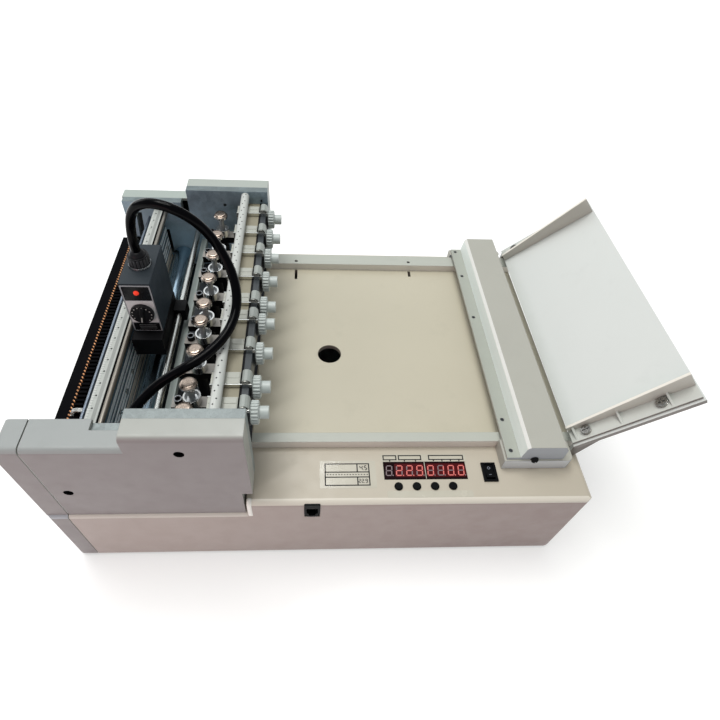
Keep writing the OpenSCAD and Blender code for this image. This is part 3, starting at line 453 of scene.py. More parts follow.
# Dark plastics and rubber. Their strong lightening of convex edges is mostly a painted highlight.
SENSOR = {"rough": 0.5, "grain": 1500, "strength": 0.4, "var": 0.1, "dirt": 1.25, "spec": 0.25}
M_BLACK = plastic("black_plastic", (0.008, 0.008, 0.010), 0.38, var=0.2, edge_wear_and_highlight=2.2, dirt=1.5, spec=0.22)
M_BLACK2 = plastic("black_ribbed", (0.0022, 0.0022, 0.003), 0.5, var=0.2, edge_wear_and_highlight=1.3, dirt=1.5, spec=0.02)
M_DEEP = plastic("deep_black", (0.0035, 0.004, 0.0045), 0.4, var=0.2, edge_wear_and_highlight=1.6, dirt=1.4, spec=0.05)
# Near black: painted shade in holes, gaps, slots and on the shaded faces of the carriage arms, and the black of the
# sensor's bracket
M_SHADE_BLACK = plastic("painted_shade_and_black", (0.004, 0.004, 0.005), 0.6, var=0.2, edge=0, dirt=1.4, spec=0.12)
M_RUBBER = plastic("rubber", (0.02, 0.02, 0.02), 0.8, grain=700, strength=0.4, dirt=1.4)
M_SENSOR = plastic("sensor_grey", (0.0175, 0.025, 0.032), **SENSOR, edge_wear_and_highlight=2.4)
# Lighter, bluer copy as painted light on the sensor's right side faces
M_SENSOR_SIDE_PAINTED_LIGHT = plastic("sensor_side_painted_light", (0.033, 0.049, 0.066), **SENSOR, edge_wear_and_highlight=2.0)
M_RAIL = plastic("rail_grey", (0.026, 0.033, 0.038), 0.4, grain=2500, strength=0.15, var=0.14, edge_wear_and_highlight=1.8, dirt=0.7)

# Pale plastics, coated bars and sheets. The ruler has a white margin and a grey middle; its near-black right edge is
# painted shade of the gap beside it.
SHEET = {"rough": 0.38, "grain": 1600, "strength": 0.2, "var": 0.16}
RULER_BANDS = ((43.0, 45.0, 1.42), (45.0, 47.5, 1.18), (47.5, 49.8, 0.74), (49.8, 51.1, 1.12), (51.1, 52.0, 0.08))
M_KNOB = plastic("knob_plastic", (0.44, 0.48, 0.463), 0.4, var=0.06, edge_wear_and_highlight=1.10, dirt=0.85)
M_WHITE = plastic("white_plastic", (0.62, 0.62, 0.58), 0.4, var=0.04, edge_wear_and_highlight=1.05, dirt=0.85)
M_SCALE = plastic("scale_white", (0.493, 0.51, 0.485), 0.35, var=0.06, dirt=0.76)
M_RULER = plastic("ruler_grey", (0.335, 0.35, 0.33), 0.35, var=0.06, dirt=0.8, bands=RULER_BANDS)
M_BAR = plastic("pale_bar", (0.37, 0.42, 0.40), 0.35, grain=1500, var=0.06, dirt=0.8)
M_SLIDE = plastic("slide_brown", (0.255, 0.232, 0.165), 0.5, grain=650, strength=0.4, var=0.2, dirt=0.6)
M_TAN = plastic("pressed_tan", (0.395, 0.402, 0.358), **SHEET, edge_wear_and_highlight=1.7, dirt=0.62)
M_CURL = plastic("curled_clip", (0.30, 0.325, 0.305), **SHEET, edge_wear_and_highlight=1.6, dirt=0.66)
M_ARM = plastic("arm_grey", (0.27, 0.255, 0.235), 0.42, grain=1500, strength=0.2, var=0.16, edge_wear_and_highlight=1.8, dirt=0.6)

# Metals: streaks run along y on ground and drawn pieces
GROUND, DRAWN, EVEN = (1, 0.03, 1), (1, 0.02, 1), (1, 1, 1)
M_ZINC = zinc("zinc_plate", (0.315, 0.36, 0.36))
M_ZINC_EDGE = zinc("zinc_edge", (0.252, 0.285, 0.285))
# The rear plate's front face: a bluer copy with painted light at its foot; the rear top edge: a darker copy as painted
# shade
M_ZINC_BLUE = zinc("zinc_blue_painted_light", (0.29, 0.385, 0.45), 0.7, 1.8)
M_ZINC_REAR = zinc("zinc_rear_edge_painted_shade", (0.172, 0.21, 0.218))
M_STEEL = metal("tool_steel", (0.42, 0.47, 0.50), 0.34, GROUND, 900)
M_KNIFE = metal("knife_steel", (0.40, 0.45, 0.48), 0.42, GROUND, 900, shine=0.45)
M_BLUE_ROD = metal("blued_rod", (0.17, 0.20, 0.24), 0.38, DRAWN, 1200)
M_ROD = metal("drawn_rod", (0.50, 0.51, 0.49), 0.24, DRAWN, 1200)
M_BRASS = metal("tan_rod", (0.25, 0.23, 0.20), 0.35, DRAWN, 1200)
M_ROLLER = metal("roller_steel", (0.42, 0.55, 0.65), 0.15, DRAWN, 900, var=0.06, strength=0.08)
M_CHROME = metal("chrome", (0.62, 0.62, 0.61), 0.16, EVEN, 300, var=0.05, strength=0.05)
M_HEAD = metal("turned_head", (0.38, 0.31, 0.26), 0.26, EVEN, 500, var=0.15, edge=0, strength=0.12)
M_CUP = metal("cup_inside", (0.50, 0.52, 0.53), 0.34, EVEN, 700, var=0.25, edge=0, shine=0.5)
M_COLLAR = metal("dark_collar", (0.20, 0.21, 0.22), 0.3, EVEN, 700)
M_SCREW = metal("screw_steel", (0.60, 0.58, 0.54), 0.25, EVEN, 900)
M_TRAY_SCREW = metal("tray_screw", (0.34, 0.33, 0.31), 0.16, EVEN, 900)
M_DARK = metal("dark_steel", (0.06, 0.064, 0.07), 0.42, (1, 0.05, 1), 900, var=0.15)
M_COPPER = metal("copper", (0.47, 0.235, 0.115), 0.4, EVEN, 700)
M_CLIP = metal("clip_sheet", (0.46, 0.46, 0.42), 0.32, (1, 0.15, 1), 600, var=0.1)
M_BRIGHT = metal("bright_sheet", (0.70, 0.71, 0.69), 0.25, (0.1, 1, 1), 800, edge=0)
# Knife bars: near-white colours as painted light where little light reaches, over the bars' own blue, grey and tan;
# the dark ground is painted shade between the ribs
M_BAR_BLUE = metal("bar_blue_painted_light", (0.86, 0.93, 0.98), 0.35, GROUND, 900, shine=0.15)
M_BAR_GREY = metal("bar_grey_painted_light", (0.90, 0.93, 0.95), 0.4, GROUND, 900, shine=0.15)
M_BAR_GROOVE_SHADE = metal("bar_groove_painted_shade", (0.06, 0.12, 0.16), 0.4, GROUND, 900, shine=0.15)
M_BAR_TAN = metal("bar_tan_painted_light", (0.66, 0.59, 0.50), 0.45, GROUND, 900, shine=0.1)

# Printing, films and the display
PRINTED = {"var": 0.2, "edge": 0, "strength": 0.05}
M_FILM = plastic("label_film", (0.472, 0.448, 0.373), 0.22, var=0.02, edge=0, strength=0.05)
M_INK = plastic("ink", (0.012, 0.012, 0.015), 0.5, **PRINTED, dirt=1.3, spec=0.15)
M_TICK = plastic("tick_grey", (0.16, 0.17, 0.17), 0.5, **PRINTED)
M_LENS = plastic("display_face", (0.009, 0.0025, 0.003), 0.12, var=0.2, edge=0, strength=0.03, dirt=1.3, spec=0.12)
M_OFF = plastic("segment_off", (0.165, 0.115, 0.125), 0.4, var=0.1, edge=0, strength=0.05)
M_LIT = glow("segment_lit", (0.34, 0.11, 0.10), (0.42, 0.085, 0.075))
M_GLOW = glow("display_glow", (0.014, 0.001, 0.0015), (0.058, 0.0008, 0.0016))
M_LED = glow("led_red", (0.7, 0.05, 0.025), (1.0, 0.06, 0.03), 0.5)


# CAD nodes: smooth shading and materials
SHARP_ANGLE = math.radians(34)
WELD = 1e-6


def soften(o):
    """Rounds shade smoothly and edges stay crisp; the mesh itself stays as packed."""
    me = o.data
    if "custom_normal" in me.attributes:
        me.attributes.remove(me.attributes["custom_normal"])
    for p in me.polygons:
        p.use_smooth = True
    o.modifiers.new("weld", "WELD").merge_threshold = WELD
    split = o.modifiers.new("split", "EDGE_SPLIT")
    split.split_angle = SHARP_ANGLE
    split.use_edge_sharp = False


def paint(mat, *names):
    for n in names:
        me = nodes[n].data
        me.materials.clear()
        me.materials.append(mat)


def paint_by(name, mats, pick):
    """Gives each polygon of a node one of mats: pick takes its middle in machine millimetres and its normal."""
    me = nodes[name].data
    me.materials.clear()
    for m in mats:
        me.materials.append(m)
    for p in me.polygons:
        p.material_index = mats.index(pick((p.center - CORNER) / MM, p.normal))


# Where the covers' screw holes and the bridge's hole are, and where the panel steps up from the ledge
COVER_HOLES = ((106.5, 153), (26.5, 104))
BRIDGE_HOLE = Vector((347.7, 28, 97.5))
STEP_X = 143
# Beyond this depth a face belongs to the rear half of the tower
REAR_Y = 200


def on_ledge(c, n):
    return c.y < 4 and 66.5 < c.z < 70.1 and n.z > 0.1


def on_low_top(c, n):
    return 150 < c.z < 158 and n.z > 0.3


def base_look(c, n):
    # Painted light on the ledge's rounded top left of the step, and a painted highlight on the panel's rounded front
    # edge
    if c.x < STEP_X and on_ledge(c, n):
        return M_LEDGE_PAINTED_LIGHT
    panel_edge_highlight = c.y < 6 and c.z > 80 and 0.35 < n.z < 0.98
    return M_EDGE_HIGHLIGHT if panel_edge_highlight else M_MOULD


def end_cover_look(c, n):
    # Painted light on the ledge; the low top in its copy with painted light and shade
    if on_ledge(c, n):
        return M_POST_PAINTED_LIGHT
    return M_LOW_TOP_LIGHT_AND_SHADE if on_low_top(c, n) else M_TOWER


def front_cover_look(c, n):
    # Painted shade inside the screw holes; the low top in its copy with painted light and shade
    if c.y > 2.2 and any(math.hypot(c.x - x, c.z - z) < 3.4 for x, z in COVER_HOLES):
        return M_SHADE_BLACK
    return M_LOW_TOP_LIGHT_AND_SHADE if on_low_top(c, n) else M_TOWER


def rear_cover_look(c, n):
    # Painted shade on the inner faces seen through the slots; the low top in its copy with painted light and shade
    if (n.y < -0.5 and c.y > 263) or (n.z < -0.5 and c.z > 140):
        return M_SHADE_BLACK
    return M_REAR_LOW_TOP_LIGHT_AND_SHADE if on_low_top(c, n) else M_REAR


def bridge_look(c, n):
    # Painted shade in the hole; painted light on the foot's front faces, the slope's wall and the slope; painted shade
    # on the flange tops
    if (c - BRIDGE_HOLE).length < 5 and abs(n.y) < 0.98:
        return M_SHADE_BLACK
    if n.y < -0.9 and c.z < 97.5 and c.y < 40:
        return M_FOOT_PAINTED_LIGHT
    if n.x < -0.9 and 0.05 < n.z < 0.3:
        return M_BRIDGE_WALL_PAINTED_LIGHT
    if n.z > 0.9 and c.x < 337.5 and c.z > 99:
        return M_FLANGE_PAINTED_SHADE
    return M_SLOPE_PAINTED_LIGHT if n.x < -0.25 and n.z > 0.05 and c.z > 95 else M_BRIDGE


def tray_look(c, n):
    # Painted shade on the front faces, darkest on the brace
    if n.y > -0.9:
        return M_TRAY
    return M_BRACE_SHADE if 36.5 < c.y < 39 else M_TRAY_SIDE_SHADE


def guide_look(c, n):
    # Front faces: painted shade low down, painted light on the wall above; a painted highlight on the rim
    if n.y < -0.9:
        return M_TRAY_SIDE_SHADE if c.y < 39 else M_GUIDE_WALL_PAINTED_LIGHT
    return M_GUIDE_RIM_HIGHLIGHT if n.z > 0.6 and n.x < -0.7 else M_GUIDE


def deck_look(c, n):
    # Painted light on the rim's front faces
    if n.y < -0.5 and c.z > 88.5:
        return M_RIM_SIDE_PAINTED_LIGHT
    return M_RIM if c.z > 93.5 else M_DECK


def side_plate_look(c, n):
    # Rear top edges: painted shade; the rear plate's front face: the bluer copy with painted light at its foot
    if n.z > 0.5:
        return M_ZINC_REAR if c.y > REAR_Y else M_ZINC_EDGE
    return M_ZINC_BLUE if n.y < -0.5 and c.y > REAR_Y else M_ZINC


def case_screw_look(c, n):
    if c.x > 375:
        return M_TRAY_SCREW
    # Painted shade on the screws by the bridge's hole
    return M_SHADE_BLACK if 340 < c.x < 366 and c.y < 40 else M_DARK


def sensor_look(c, n):
    # Black bracket below; painted light on the right side faces
    if c.z < 145.2:
        return M_SHADE_BLACK
    if c.z > 190.2:
        return M_BLACK
    return M_SENSOR_SIDE_PAINTED_LIGHT if n.x > 0.5 else M_SENSOR


def cross_bar_look(c, n):
    # Painted shade on the rail's top at its inner edge, in the gap by the slide bar
    if c.x > 138.4 and c.z > 139:
        return M_SHADE_BLACK if c.x < 140 and n.z > 0.5 else M_RAIL
    if 122 < c.x < 139 and c.z > 145:
        return M_SLIDE
    if 50 < c.x < 57 and c.z > 140:
        return M_BRASS
    if 80.9 < c.x < 87 and c.z < 120:
        return M_BAR
    if 35 < c.x < 40 and c.z > 138:
        return M_BLUE_ROD
    return M_BLACK if c.y < 28 and 60 < c.x < 78 and c.z > 138 else M_ROD


def carriage_look(c, n):
    # Arms: grey on top and painted shade on their other faces; painted shade in the gap by the rail
    if c.x < 119.9:
        return M_ARM if 133 < c.z < 134.6 and n.z > 0.5 else M_SHADE_BLACK
    if 138.6 < c.x < 140.1 and c.z > 158.8:
        return M_SHADE_BLACK
    if c.z > 158.2:
        return M_CLIP if c.x > 140 else M_TAN
    return M_RAIL


def thumb_screw_look(c, n, y):
    if c.z > 154.2 and n.z > 0.5:
        return M_HEAD
    return M_CUP if math.hypot(c.x - THUMB_X, c.y - y) < 4.9 and c.z < 150.5 else M_CHROME


for node_name, node in nodes.items():
    if node_name != "sensor_cable":
        soften(node)

paint_by("base_housing", [M_MOULD, M_LEDGE_PAINTED_LIGHT, M_EDGE_HIGHLIGHT], base_look)
paint_by("left_end_cover", [M_TOWER, M_POST_PAINTED_LIGHT, M_LOW_TOP_LIGHT_AND_SHADE], end_cover_look)
paint_by("front_tower_cover", [M_TOWER, M_SHADE_BLACK, M_LOW_TOP_LIGHT_AND_SHADE], front_cover_look)
paint_by("rear_tower_cover", [M_REAR, M_SHADE_BLACK, M_REAR_LOW_TOP_LIGHT_AND_SHADE], rear_cover_look)
paint_by("feed_bridge", [M_BRIDGE, M_SLOPE_PAINTED_LIGHT, M_SHADE_BLACK, M_BRIDGE_WALL_PAINTED_LIGHT, M_FOOT_PAINTED_LIGHT, M_FLANGE_PAINTED_SHADE], bridge_look)
paint_by("feed_tray", [M_TRAY, M_TRAY_SIDE_SHADE, M_BRACE_SHADE], tray_look)
paint_by("tray_guides", [M_GUIDE, M_GUIDE_WALL_PAINTED_LIGHT, M_GUIDE_RIM_HIGHLIGHT, M_TRAY_SIDE_SHADE], guide_look)
paint_by("deck_plate", [M_DECK, M_RIM, M_RIM_SIDE_PAINTED_LIGHT], deck_look)
paint(M_ZINC, "bottom_plate")
paint_by("side_plates", [M_ZINC, M_ZINC_EDGE, M_ZINC_BLUE, M_ZINC_REAR], side_plate_look)
paint(M_RUBBER, "rubber_feet")
paint(M_BLACK, "sensor_dial")
paint(M_DEEP, "display_board", "switch_body", "switch_rocker", "front_socket")
paint(M_DEEP, *[f"button_{i}" for i in range(1, 5)])
paint(M_BLACK2, "static_brush")
paint(M_ROLLER, "feed_roller")
paint(M_KNIFE, "fixed_knife", "moving_knife")
paint(M_STEEL, "motor_pinion")
paint(M_DARK, "feed_motor", "knife_solenoids", "guide_table")
paint_by("scale_bars", [M_SCALE, M_RULER], lambda c, n: M_RULER if c.x < 60 else M_SCALE)
paint_by("case_screws", [M_DARK, M_TRAY_SCREW, M_SHADE_BLACK], case_screw_look)
paint_by("sensor_head", [M_SENSOR, M_SHADE_BLACK, M_BLACK, M_SENSOR_SIDE_PAINTED_LIGHT], sensor_look)
paint_by("cross_bars", [M_ROD, M_BRASS, M_RAIL, M_BAR, M_BLACK, M_SLIDE, M_SHADE_BLACK, M_BLUE_ROD], cross_bar_look)
for i, cy in enumerate(CARRIAGE_Y, 1):
    paint_by(f"carriage_{i}", [M_TAN, M_CLIP, M_ARM, M_SHADE_BLACK, M_RAIL], carriage_look)
    paint_by(f"thumb_screw_{i}", [M_CHROME, M_HEAD, M_CUP], lambda c, n, y=cy: thumb_screw_look(c, n, y))
    paint(M_KNOB, f"lock_knob_{i}")


# Sensor cable: the route of the solids, smoothed. SHAPE gives the share of the way from the gland to the ferrule,
# and how far the cable stands off that line in x and z.
CABLE_D = 0.0064
GLAND_Z = 198
SHAPE = [
    (0, 0, 0), (0, 0, 10), (-0.03, -0.5, 19), (-0.02, 2, 30), (0.005, 7.5, 40), (0.045, 16.5, 47),
    (0.075, 27, 49), (0.09, 37, 46), (0.08, 45.5, 38), (0.05, 50.5, 26.5), (0.055, 56.5, 17), (0.095, 61, 9.5),
    (0.165, 66, 5.5), (0.235, 68, 1), (0.33, 68, -1), (0.42, 64.5, -1.5), (0.52, 59.5, 1.5), (0.615, 53.5, 6.5),
    (0.695, 45.5, 10), (0.75, 36, 10.5), (0.77, 25.5, 7.5), (0.79, 15.5, 0), (0.84, 7, -3.5), (0.92, 1.5, -3),
    (1, 0, 0)]
SMOOTHINGS = 2
gland, ferrule = Vector((SENSOR_X, SENSOR_Y, GLAND_Z)), Vector((70, Y_IN + 4, 147))
route = [gland + s * (ferrule - gland) + Vector((dx, 0, dz)) for s, dx, dz in SHAPE]
for _ in range(SMOOTHINGS):
    inner = [(route[i - 1] + 2 * route[i] + route[i + 1]) / 4 for i in range(2, len(route) - 2)]
    route = route[:2] + inner + route[-2:]
path = [P(*p) for p in spline(route, 5)]
M_CABLE = plastic("cable_sheath", (0.0012, 0.0012, 0.0018), 0.1, grain=600, strength=0.02, var=0.2, edge=0, dirt=1.4,
                  spec=0.07)
bm = bmesh.new()
add_tube(bm, path, CABLE_D / 2 / MM, 16)
cable = obj_from(bm, "cable", M_CABLE, smooth=True)
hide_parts("sensor_cable")
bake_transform(cable)


# Display: two modules of four digits, with their faces, strokes and points
FACE_Z = 87.3
DISPLAY_X, DISPLAY_Y = 238.0, 18.3
MODULE_L, MODULE_W, MODULE_GAP = 30.2, 14.0, 0.6
DIGIT_H, DIGIT_W, SLANT = 7.7, 4.0, 0.09
STROKE, PRINT_STROKE = 0.8, 1.5
STROKE_GAP = 0.14
SHOWN = " 2290100"
POINTS = (1, 2, 6)
STROKES = {"0": "abcdef", "1": "bc", "2": "abged", "4": "bcfg", "5": "acdfg", "9": "abcdfg", " ": ""}
STROKE_ENDS = {"a": ((0, 2), (1, 2)), "g": ((0, 1), (1, 1)), "d": ((0, 0), (1, 0)), "f": ((0, 1), (0, 2)),
               "b": ((1, 1), (1, 2)), "e": ((0, 0), (0, 1)), "c": ((1, 0), (1, 1))}


def stroke_outline(s, thick):
    """Six-sided outline of one stroke of a digit."""
    half, t = DIGIT_H / 2, thick / 2
    (x0, y0), (x1, y1) = [(DIGIT_W * a, half * b) for a, b in STROKE_ENDS[s]]
    if y0 == y1:
        x0, x1 = x0 + STROKE_GAP, x1 - STROKE_GAP
        return [(x0, y0), (x0 + t, y0 - t), (x1 - t, y0 - t), (x1, y0), (x1 - t, y0 + t), (x0 + t, y0 + t)]
    y0, y1 = y0 + STROKE_GAP, y1 - STROKE_GAP
    return [(x0, y0), (x0 + t, y0 + t), (x0 + t, y1 - t), (x0, y1), (x0 - t, y1 - t), (x0 - t, y0 + t)]


faces, lit, dim, back = [bmesh.new() for _ in range(4)]
for k in range(2):
    x = DISPLAY_X + k * (MODULE_L + MODULE_GAP)
    outline = round_rect(x + 0.15, DISPLAY_Y + 0.15, x + MODULE_L - 0.15, DISPLAY_Y + MODULE_W - 0.15, 0.4)
    add_prism(faces, outline, FACE_Z, FACE_Z + 0.12)
for k, ch in enumerate(SHOWN):
    x = DISPLAY_X + (k // 4) * (MODULE_L + MODULE_GAP) + (k % 4) * (MODULE_L / 4) + 1.35
    y = DISPLAY_Y + (MODULE_W - DIGIT_H) / 2 - 0.2
    for s in "abcdefg":
        outline = [(x + px + SLANT * py, y + py) for px, py in stroke_outline(s, STROKE)]
        add_prism(lit if s in STROKES[ch] else dim, outline, FACE_Z + 0.1, FACE_Z + 0.2)
    add_cyl(lit if k in POINTS else dim, P(x + DIGIT_W + 1.0, y, FACE_Z + 0.15), UP, 0.5, 0.1, seg=12)
for x0, x1 in ((DISPLAY_X + MODULE_L / 4 + 0.3, DISPLAY_X + MODULE_L - 0.4),
               (DISPLAY_X + MODULE_L + 1.0, DISPLAY_X + 2 * MODULE_L + 0.2)):
    outline = round_rect(x0, DISPLAY_Y + 1.6, x1, DISPLAY_Y + MODULE_W - 1.6, 1.2)
    add_prism(back, outline, FACE_Z + 0.1, FACE_Z + 0.14)
for bm, name, mat in ((faces, "display_faces", M_LENS), (lit, "display_lit", M_LIT), (dim, "display_unlit", M_OFF),
                      (back, "display_back", M_GLOW)):
    add_piece(bm, name, "machine", "black_plastic", mat)
bm = bmesh.new()
add_box(bm, P(DISPLAY_X + MODULE_L + 0.05, DISPLAY_Y + 0.2, FACE_Z - 0.3),
        P(DISPLAY_X + MODULE_L + 0.55, DISPLAY_Y + MODULE_W - 0.2, FACE_Z + 0.12))
break_edges(bm, 0.1)
add_piece(bm, "display_divider", "machine", "moulding", M_FILM)


# Panel films with plain boxes, a dotted row and plain numbers
PANEL_Z = 87.0
FILM_T = 0.08
LINE_Z = (PANEL_Z + 0.07, PANEL_Z + 0.11)
BOX_XS = (195, 218.4, 227)
BOX_YS = ((14, 20.4), (24.4, 31))
HEADING_Y = (34.2, 37.6)
HEADING_XS = ((238.3, 247.8), (249.8, 266.5), (272.6, 298.4))
HEADING_TICK = 7
films, ink = bmesh.new(), bmesh.new()


def film(x0, y0, x1, y1):
    add_prism(films, round_rect(x0, y0, x1, y1, 0.8), PANEL_Z, PANEL_Z + FILM_T)


def line(x0, y0, x1, y1, w=0.85):
    add_box(ink, P(x0 - w / 2, y0 - w / 2, LINE_Z[0]), P(x1 + w / 2, y1 + w / 2, LINE_Z[1]))


def empty_box(x0, y0, x1, y1):
    line(x0, y0, x1, y0)
    line(x0, y1, x1, y1)
    line(x0, y0, x0, y1)
    line(x1, y0, x1, y1)


film(191, 11.7, 232, 33.6)
for y0, y1 in BOX_YS:
    empty_box(BOX_XS[0], y0, BOX_XS[2], y1)
    line(BOX_XS[1], y0, BOX_XS[1], y1)
for x in (BOX_XS[0], BOX_XS[2]):
    line(x, BOX_YS[0][1], x, BOX_YS[1][0])
for k in range(15):
    line(196.6 + 2.05 * k, 22.4, 197.0 + 2.05 * k, 22.4, 0.6)
film(236.6, 32.7, 300.8, 38.8)
for x0, x1 in HEADING_XS:
    empty_box(x0, HEADING_Y[0], x1, HEADING_Y[1])
    count = max(1, round((x1 - x0) / HEADING_TICK))
    for t in range(count):
        x = x0 + (t + 0.5) * (x1 - x0) / count
        line(x, HEADING_Y[0] - 1, x, HEADING_Y[0])
film(239, 4.2, 301, 9.3)
add_piece(films, "panel_films", "machine", "moulding", M_FILM)
add_piece(ink, "panel_lines", "machine", "moulding", M_INK)


def number(name, text, x, y, size):
    """Plain seven-stroke number on the film."""
    bm = bmesh.new()
    k = size / DIGIT_H
    for ch in text:
        if ch == ".":
            add_cyl(bm, P(x - 0.1, y, PANEL_Z + 0.1), UP, 0.28, 0.06, seg=10)
            x += 0.7
            continue
        for s in STROKES[ch]:
            outline = [(x + k * px, y + k * py) for px, py in stroke_outline(s, PRINT_STROKE)]
            add_prism(bm, outline, PANEL_Z + 0.07, PANEL_Z + 0.12)
        x += k * (DIGIT_W + 1.9)
    add_piece(bm, name, "machine", "moulding", M_INK)


number("panel_number_upper", "4.5", 220.5, 26.1, 3.3)
number("panel_number_lower", "22.9", 219.25, 16.0, 2.7)


# Ring and bar on the rocker, on its dished and tilted face
ROCKER_AT = (316.05, 23.3, 86.6)
ROCKER_TILT = math.radians(-8)
RING_R = (0.75, 1.1)
RING_STEPS = 20
rocker_face = Matrix.Translation(P(*ROCKER_AT)) @ Matrix.Rotation(ROCKER_TILT, 4, "X")


def on_rocker(x, y):
    return rocker_face @ (Vector((x, y, 1.4 + 0.6 * abs(y) / 5.3 + 0.05)) * MM)


bm = bmesh.new()
for i in range(RING_STEPS):
    a0, a1 = 2 * math.pi * i / RING_STEPS, 2 * math.pi * (i + 1) / RING_STEPS
    quad = ((RING_R[0], a0), (RING_R[1], a0), (RING_R[1], a1), (RING_R[0], a1))
    bm.faces.new([bm.verts.new(on_rocker(r * math.cos(a), 2.9 + r * math.sin(a))) for r, a in quad])
bm.faces.new([bm.verts.new(on_rocker(x, y)) for x, y in ((-0.9, -3.0), (0.9, -3.0), (0.9, -2.6), (-0.9, -2.6))])
add_piece(bm, "rocker_marks", "rocker", "black_plastic", plastic("mark_grey", (0.20, 0.22, 0.26), 0.5, edge=0))


# Dots on the scale rod, dots and ticks on the ruler
SCALE_AT = (126, 165)
SCALE_R = 3.5
RULER_DOT_X, RULER_TOP = 46.2, 149.5
DOT_STEP, TICK_STEP = 10, 2
dots, ticks = bmesh.new(), bmesh.new()
for k in range(23):
    y = Y_IN + 4 + k * DOT_STEP
    for degrees, dy in ((104, 0), (76, 4.2)):
        c, s = math.cos(math.radians(degrees)), math.sin(math.radians(degrees))
        add_cyl(dots, P(SCALE_AT[0] + SCALE_R * c, y + dy, SCALE_AT[1] + SCALE_R * s), (c, 0, s), 0.55, 0.12, seg=12)
    add_cyl(dots, P(RULER_DOT_X, y, RULER_TOP), UP, 0.62, 0.12, seg=12)
for k in range(113):
    y = Y_IN + 2 + k * TICK_STEP
    end = 45.6 if k % 5 else 46.8
    add_box(ticks, P(43.9, y - 0.12, RULER_TOP - 0.05), P(end, y + 0.12, RULER_TOP + 0.03))
add_piece(dots, "scale_dots", "machine", "white_plastic", M_INK)
add_piece(ticks, "ruler_ticks", "machine", "white_plastic", M_TICK)


# Twisted copper line on the brush bar, and the clip that stands on the bar's ribs near its front end
COPPER_X, COPPER_Z = 17.5, 118.95
TURNS, TURN_STEPS, TWIST_R = 76, 10, 0.6
CLIP_X, CLIP_Z = 25.6, 120.8
CLIP_FOOT = [(19, 51), (21.4, 51), (21.4, 55), (29.8, 55), (29.8, 51), (32.2, 51), (32.2, 57), (19, 57)]
copper, core, clip = [bmesh.new() for _ in range(3)]
twist = []
for i in range(TURNS * TURN_STEPS + 1):
    t = i / (TURNS * TURN_STEPS)
    a = t * 2 * math.pi * TURNS
    twist.append(P(COPPER_X + TWIST_R * math.cos(a), Y_IN + 1.3 + t * (Y_FAR - Y_IN - 2.6),
                   COPPER_Z + TWIST_R * math.sin(a)))
add_tube(copper, twist, 0.72, 6)
add_tube(core, [P(COPPER_X, Y_IN + 0.6 + k * (Y_FAR - Y_IN - 1.2) / 8, 118.85) for k in range(9)], 0.62, 8)
for y in (52.0, 53.6):
    angles = [math.pi * k / 14 for k in range(15)]
    add_tube(clip, [P(CLIP_X - 5.5 * math.cos(a), y, CLIP_Z + 4.4 * math.sin(a)) for a in angles], 0.9, 8)
add_prism(clip, CLIP_FOOT, 120.1, 121)
add_piece(copper, "brush_copper", "machine", "black_plastic", M_COPPER, smooth=True)
add_piece(core, "brush_core", "machine", "black_plastic", M_BLACK2, smooth=True)
add_piece(clip, "brush_clip", "machine", "black_plastic", M_BRIGHT)


# Sensor: plates on its front face, lamp, gland and the marks on its dial
SENSOR_X0, SENSOR_X1, SENSOR_FRONT = 56.25, 76.75, SENSOR_Y - 21
DIAL_Z, DIAL_BASE, DIAL_GRIP = 164, 2.9, 4.1
DIAL_TURN = Matrix.Rotation(math.radians(10), 4, "Y")
DIAL_MARK_R, DIAL_MARK_HALF, DIAL_MARK_T = 6.6, 0.42, 0.00008
M_BEZEL = plastic("bezel_grey", (0.42, 0.44, 0.46), 0.45, edge=0, var=0.08)
M_GLOSS = plastic("sensor_gloss", (0.006, 0.006, 0.008), 0.18, edge=0, strength=0.03, dirt=1.5)
M_DIAL_PLATE = plastic("dial_plate", (0.84, 0.84, 0.84), 0.35, edge=0, var=0.05)
M_GLAND = plastic("gland_grey", (0.04, 0.042, 0.046), 0.45, edge=0, var=0.15)

# Each plate has its distance from the sensor's left and right edges, its lowest and highest z, thickness and corner
PLATES = (
    ("sensor_bezel", M_BEZEL, [(0.3, 0.3, 145.5, 188.6, 0.15, 0.6)]),
    ("sensor_labels", M_GLOSS, [(1.2, 1.2, 175.4, 187.6, 0.35, 0.8), (1.2, 1.2, 146.2, 153.6, 0.35, 0.8)]),
    ("sensor_label_lines", M_TICK, [(5, 3.5, z, z + 0.45, 0.45, 0.1) for z in (148.2, 149.8, 151.4)]),
    ("sensor_dial_plate", M_DIAL_PLATE, [(1.0, 1.0, 154.2, 174.8, 0.22, 0.8)]))
for name, mat, plates in PLATES:
    bm = bmesh.new()
    for dx0, dx1, z0, z1, t, r in plates:
        add_slab(bm, round_rect(SENSOR_X0 + dx0, z0, SENSOR_X1 - dx1, z1, r), SENSOR_FRONT, SENSOR_FRONT - t)
    add_piece(bm, name, "sensor", "sensor_plastic", mat)

bm = bmesh.new()
bmesh.ops.create_uvsphere(bm, u_segments=20, v_segments=10, radius=1.9 * MM,
                          matrix=Matrix.Translation(P(SENSOR_X, SENSOR_FRONT - 0.2, 182.4)))
add_piece(bm, "sensor_led", "sensor", "sensor_plastic", M_LED, smooth=True)

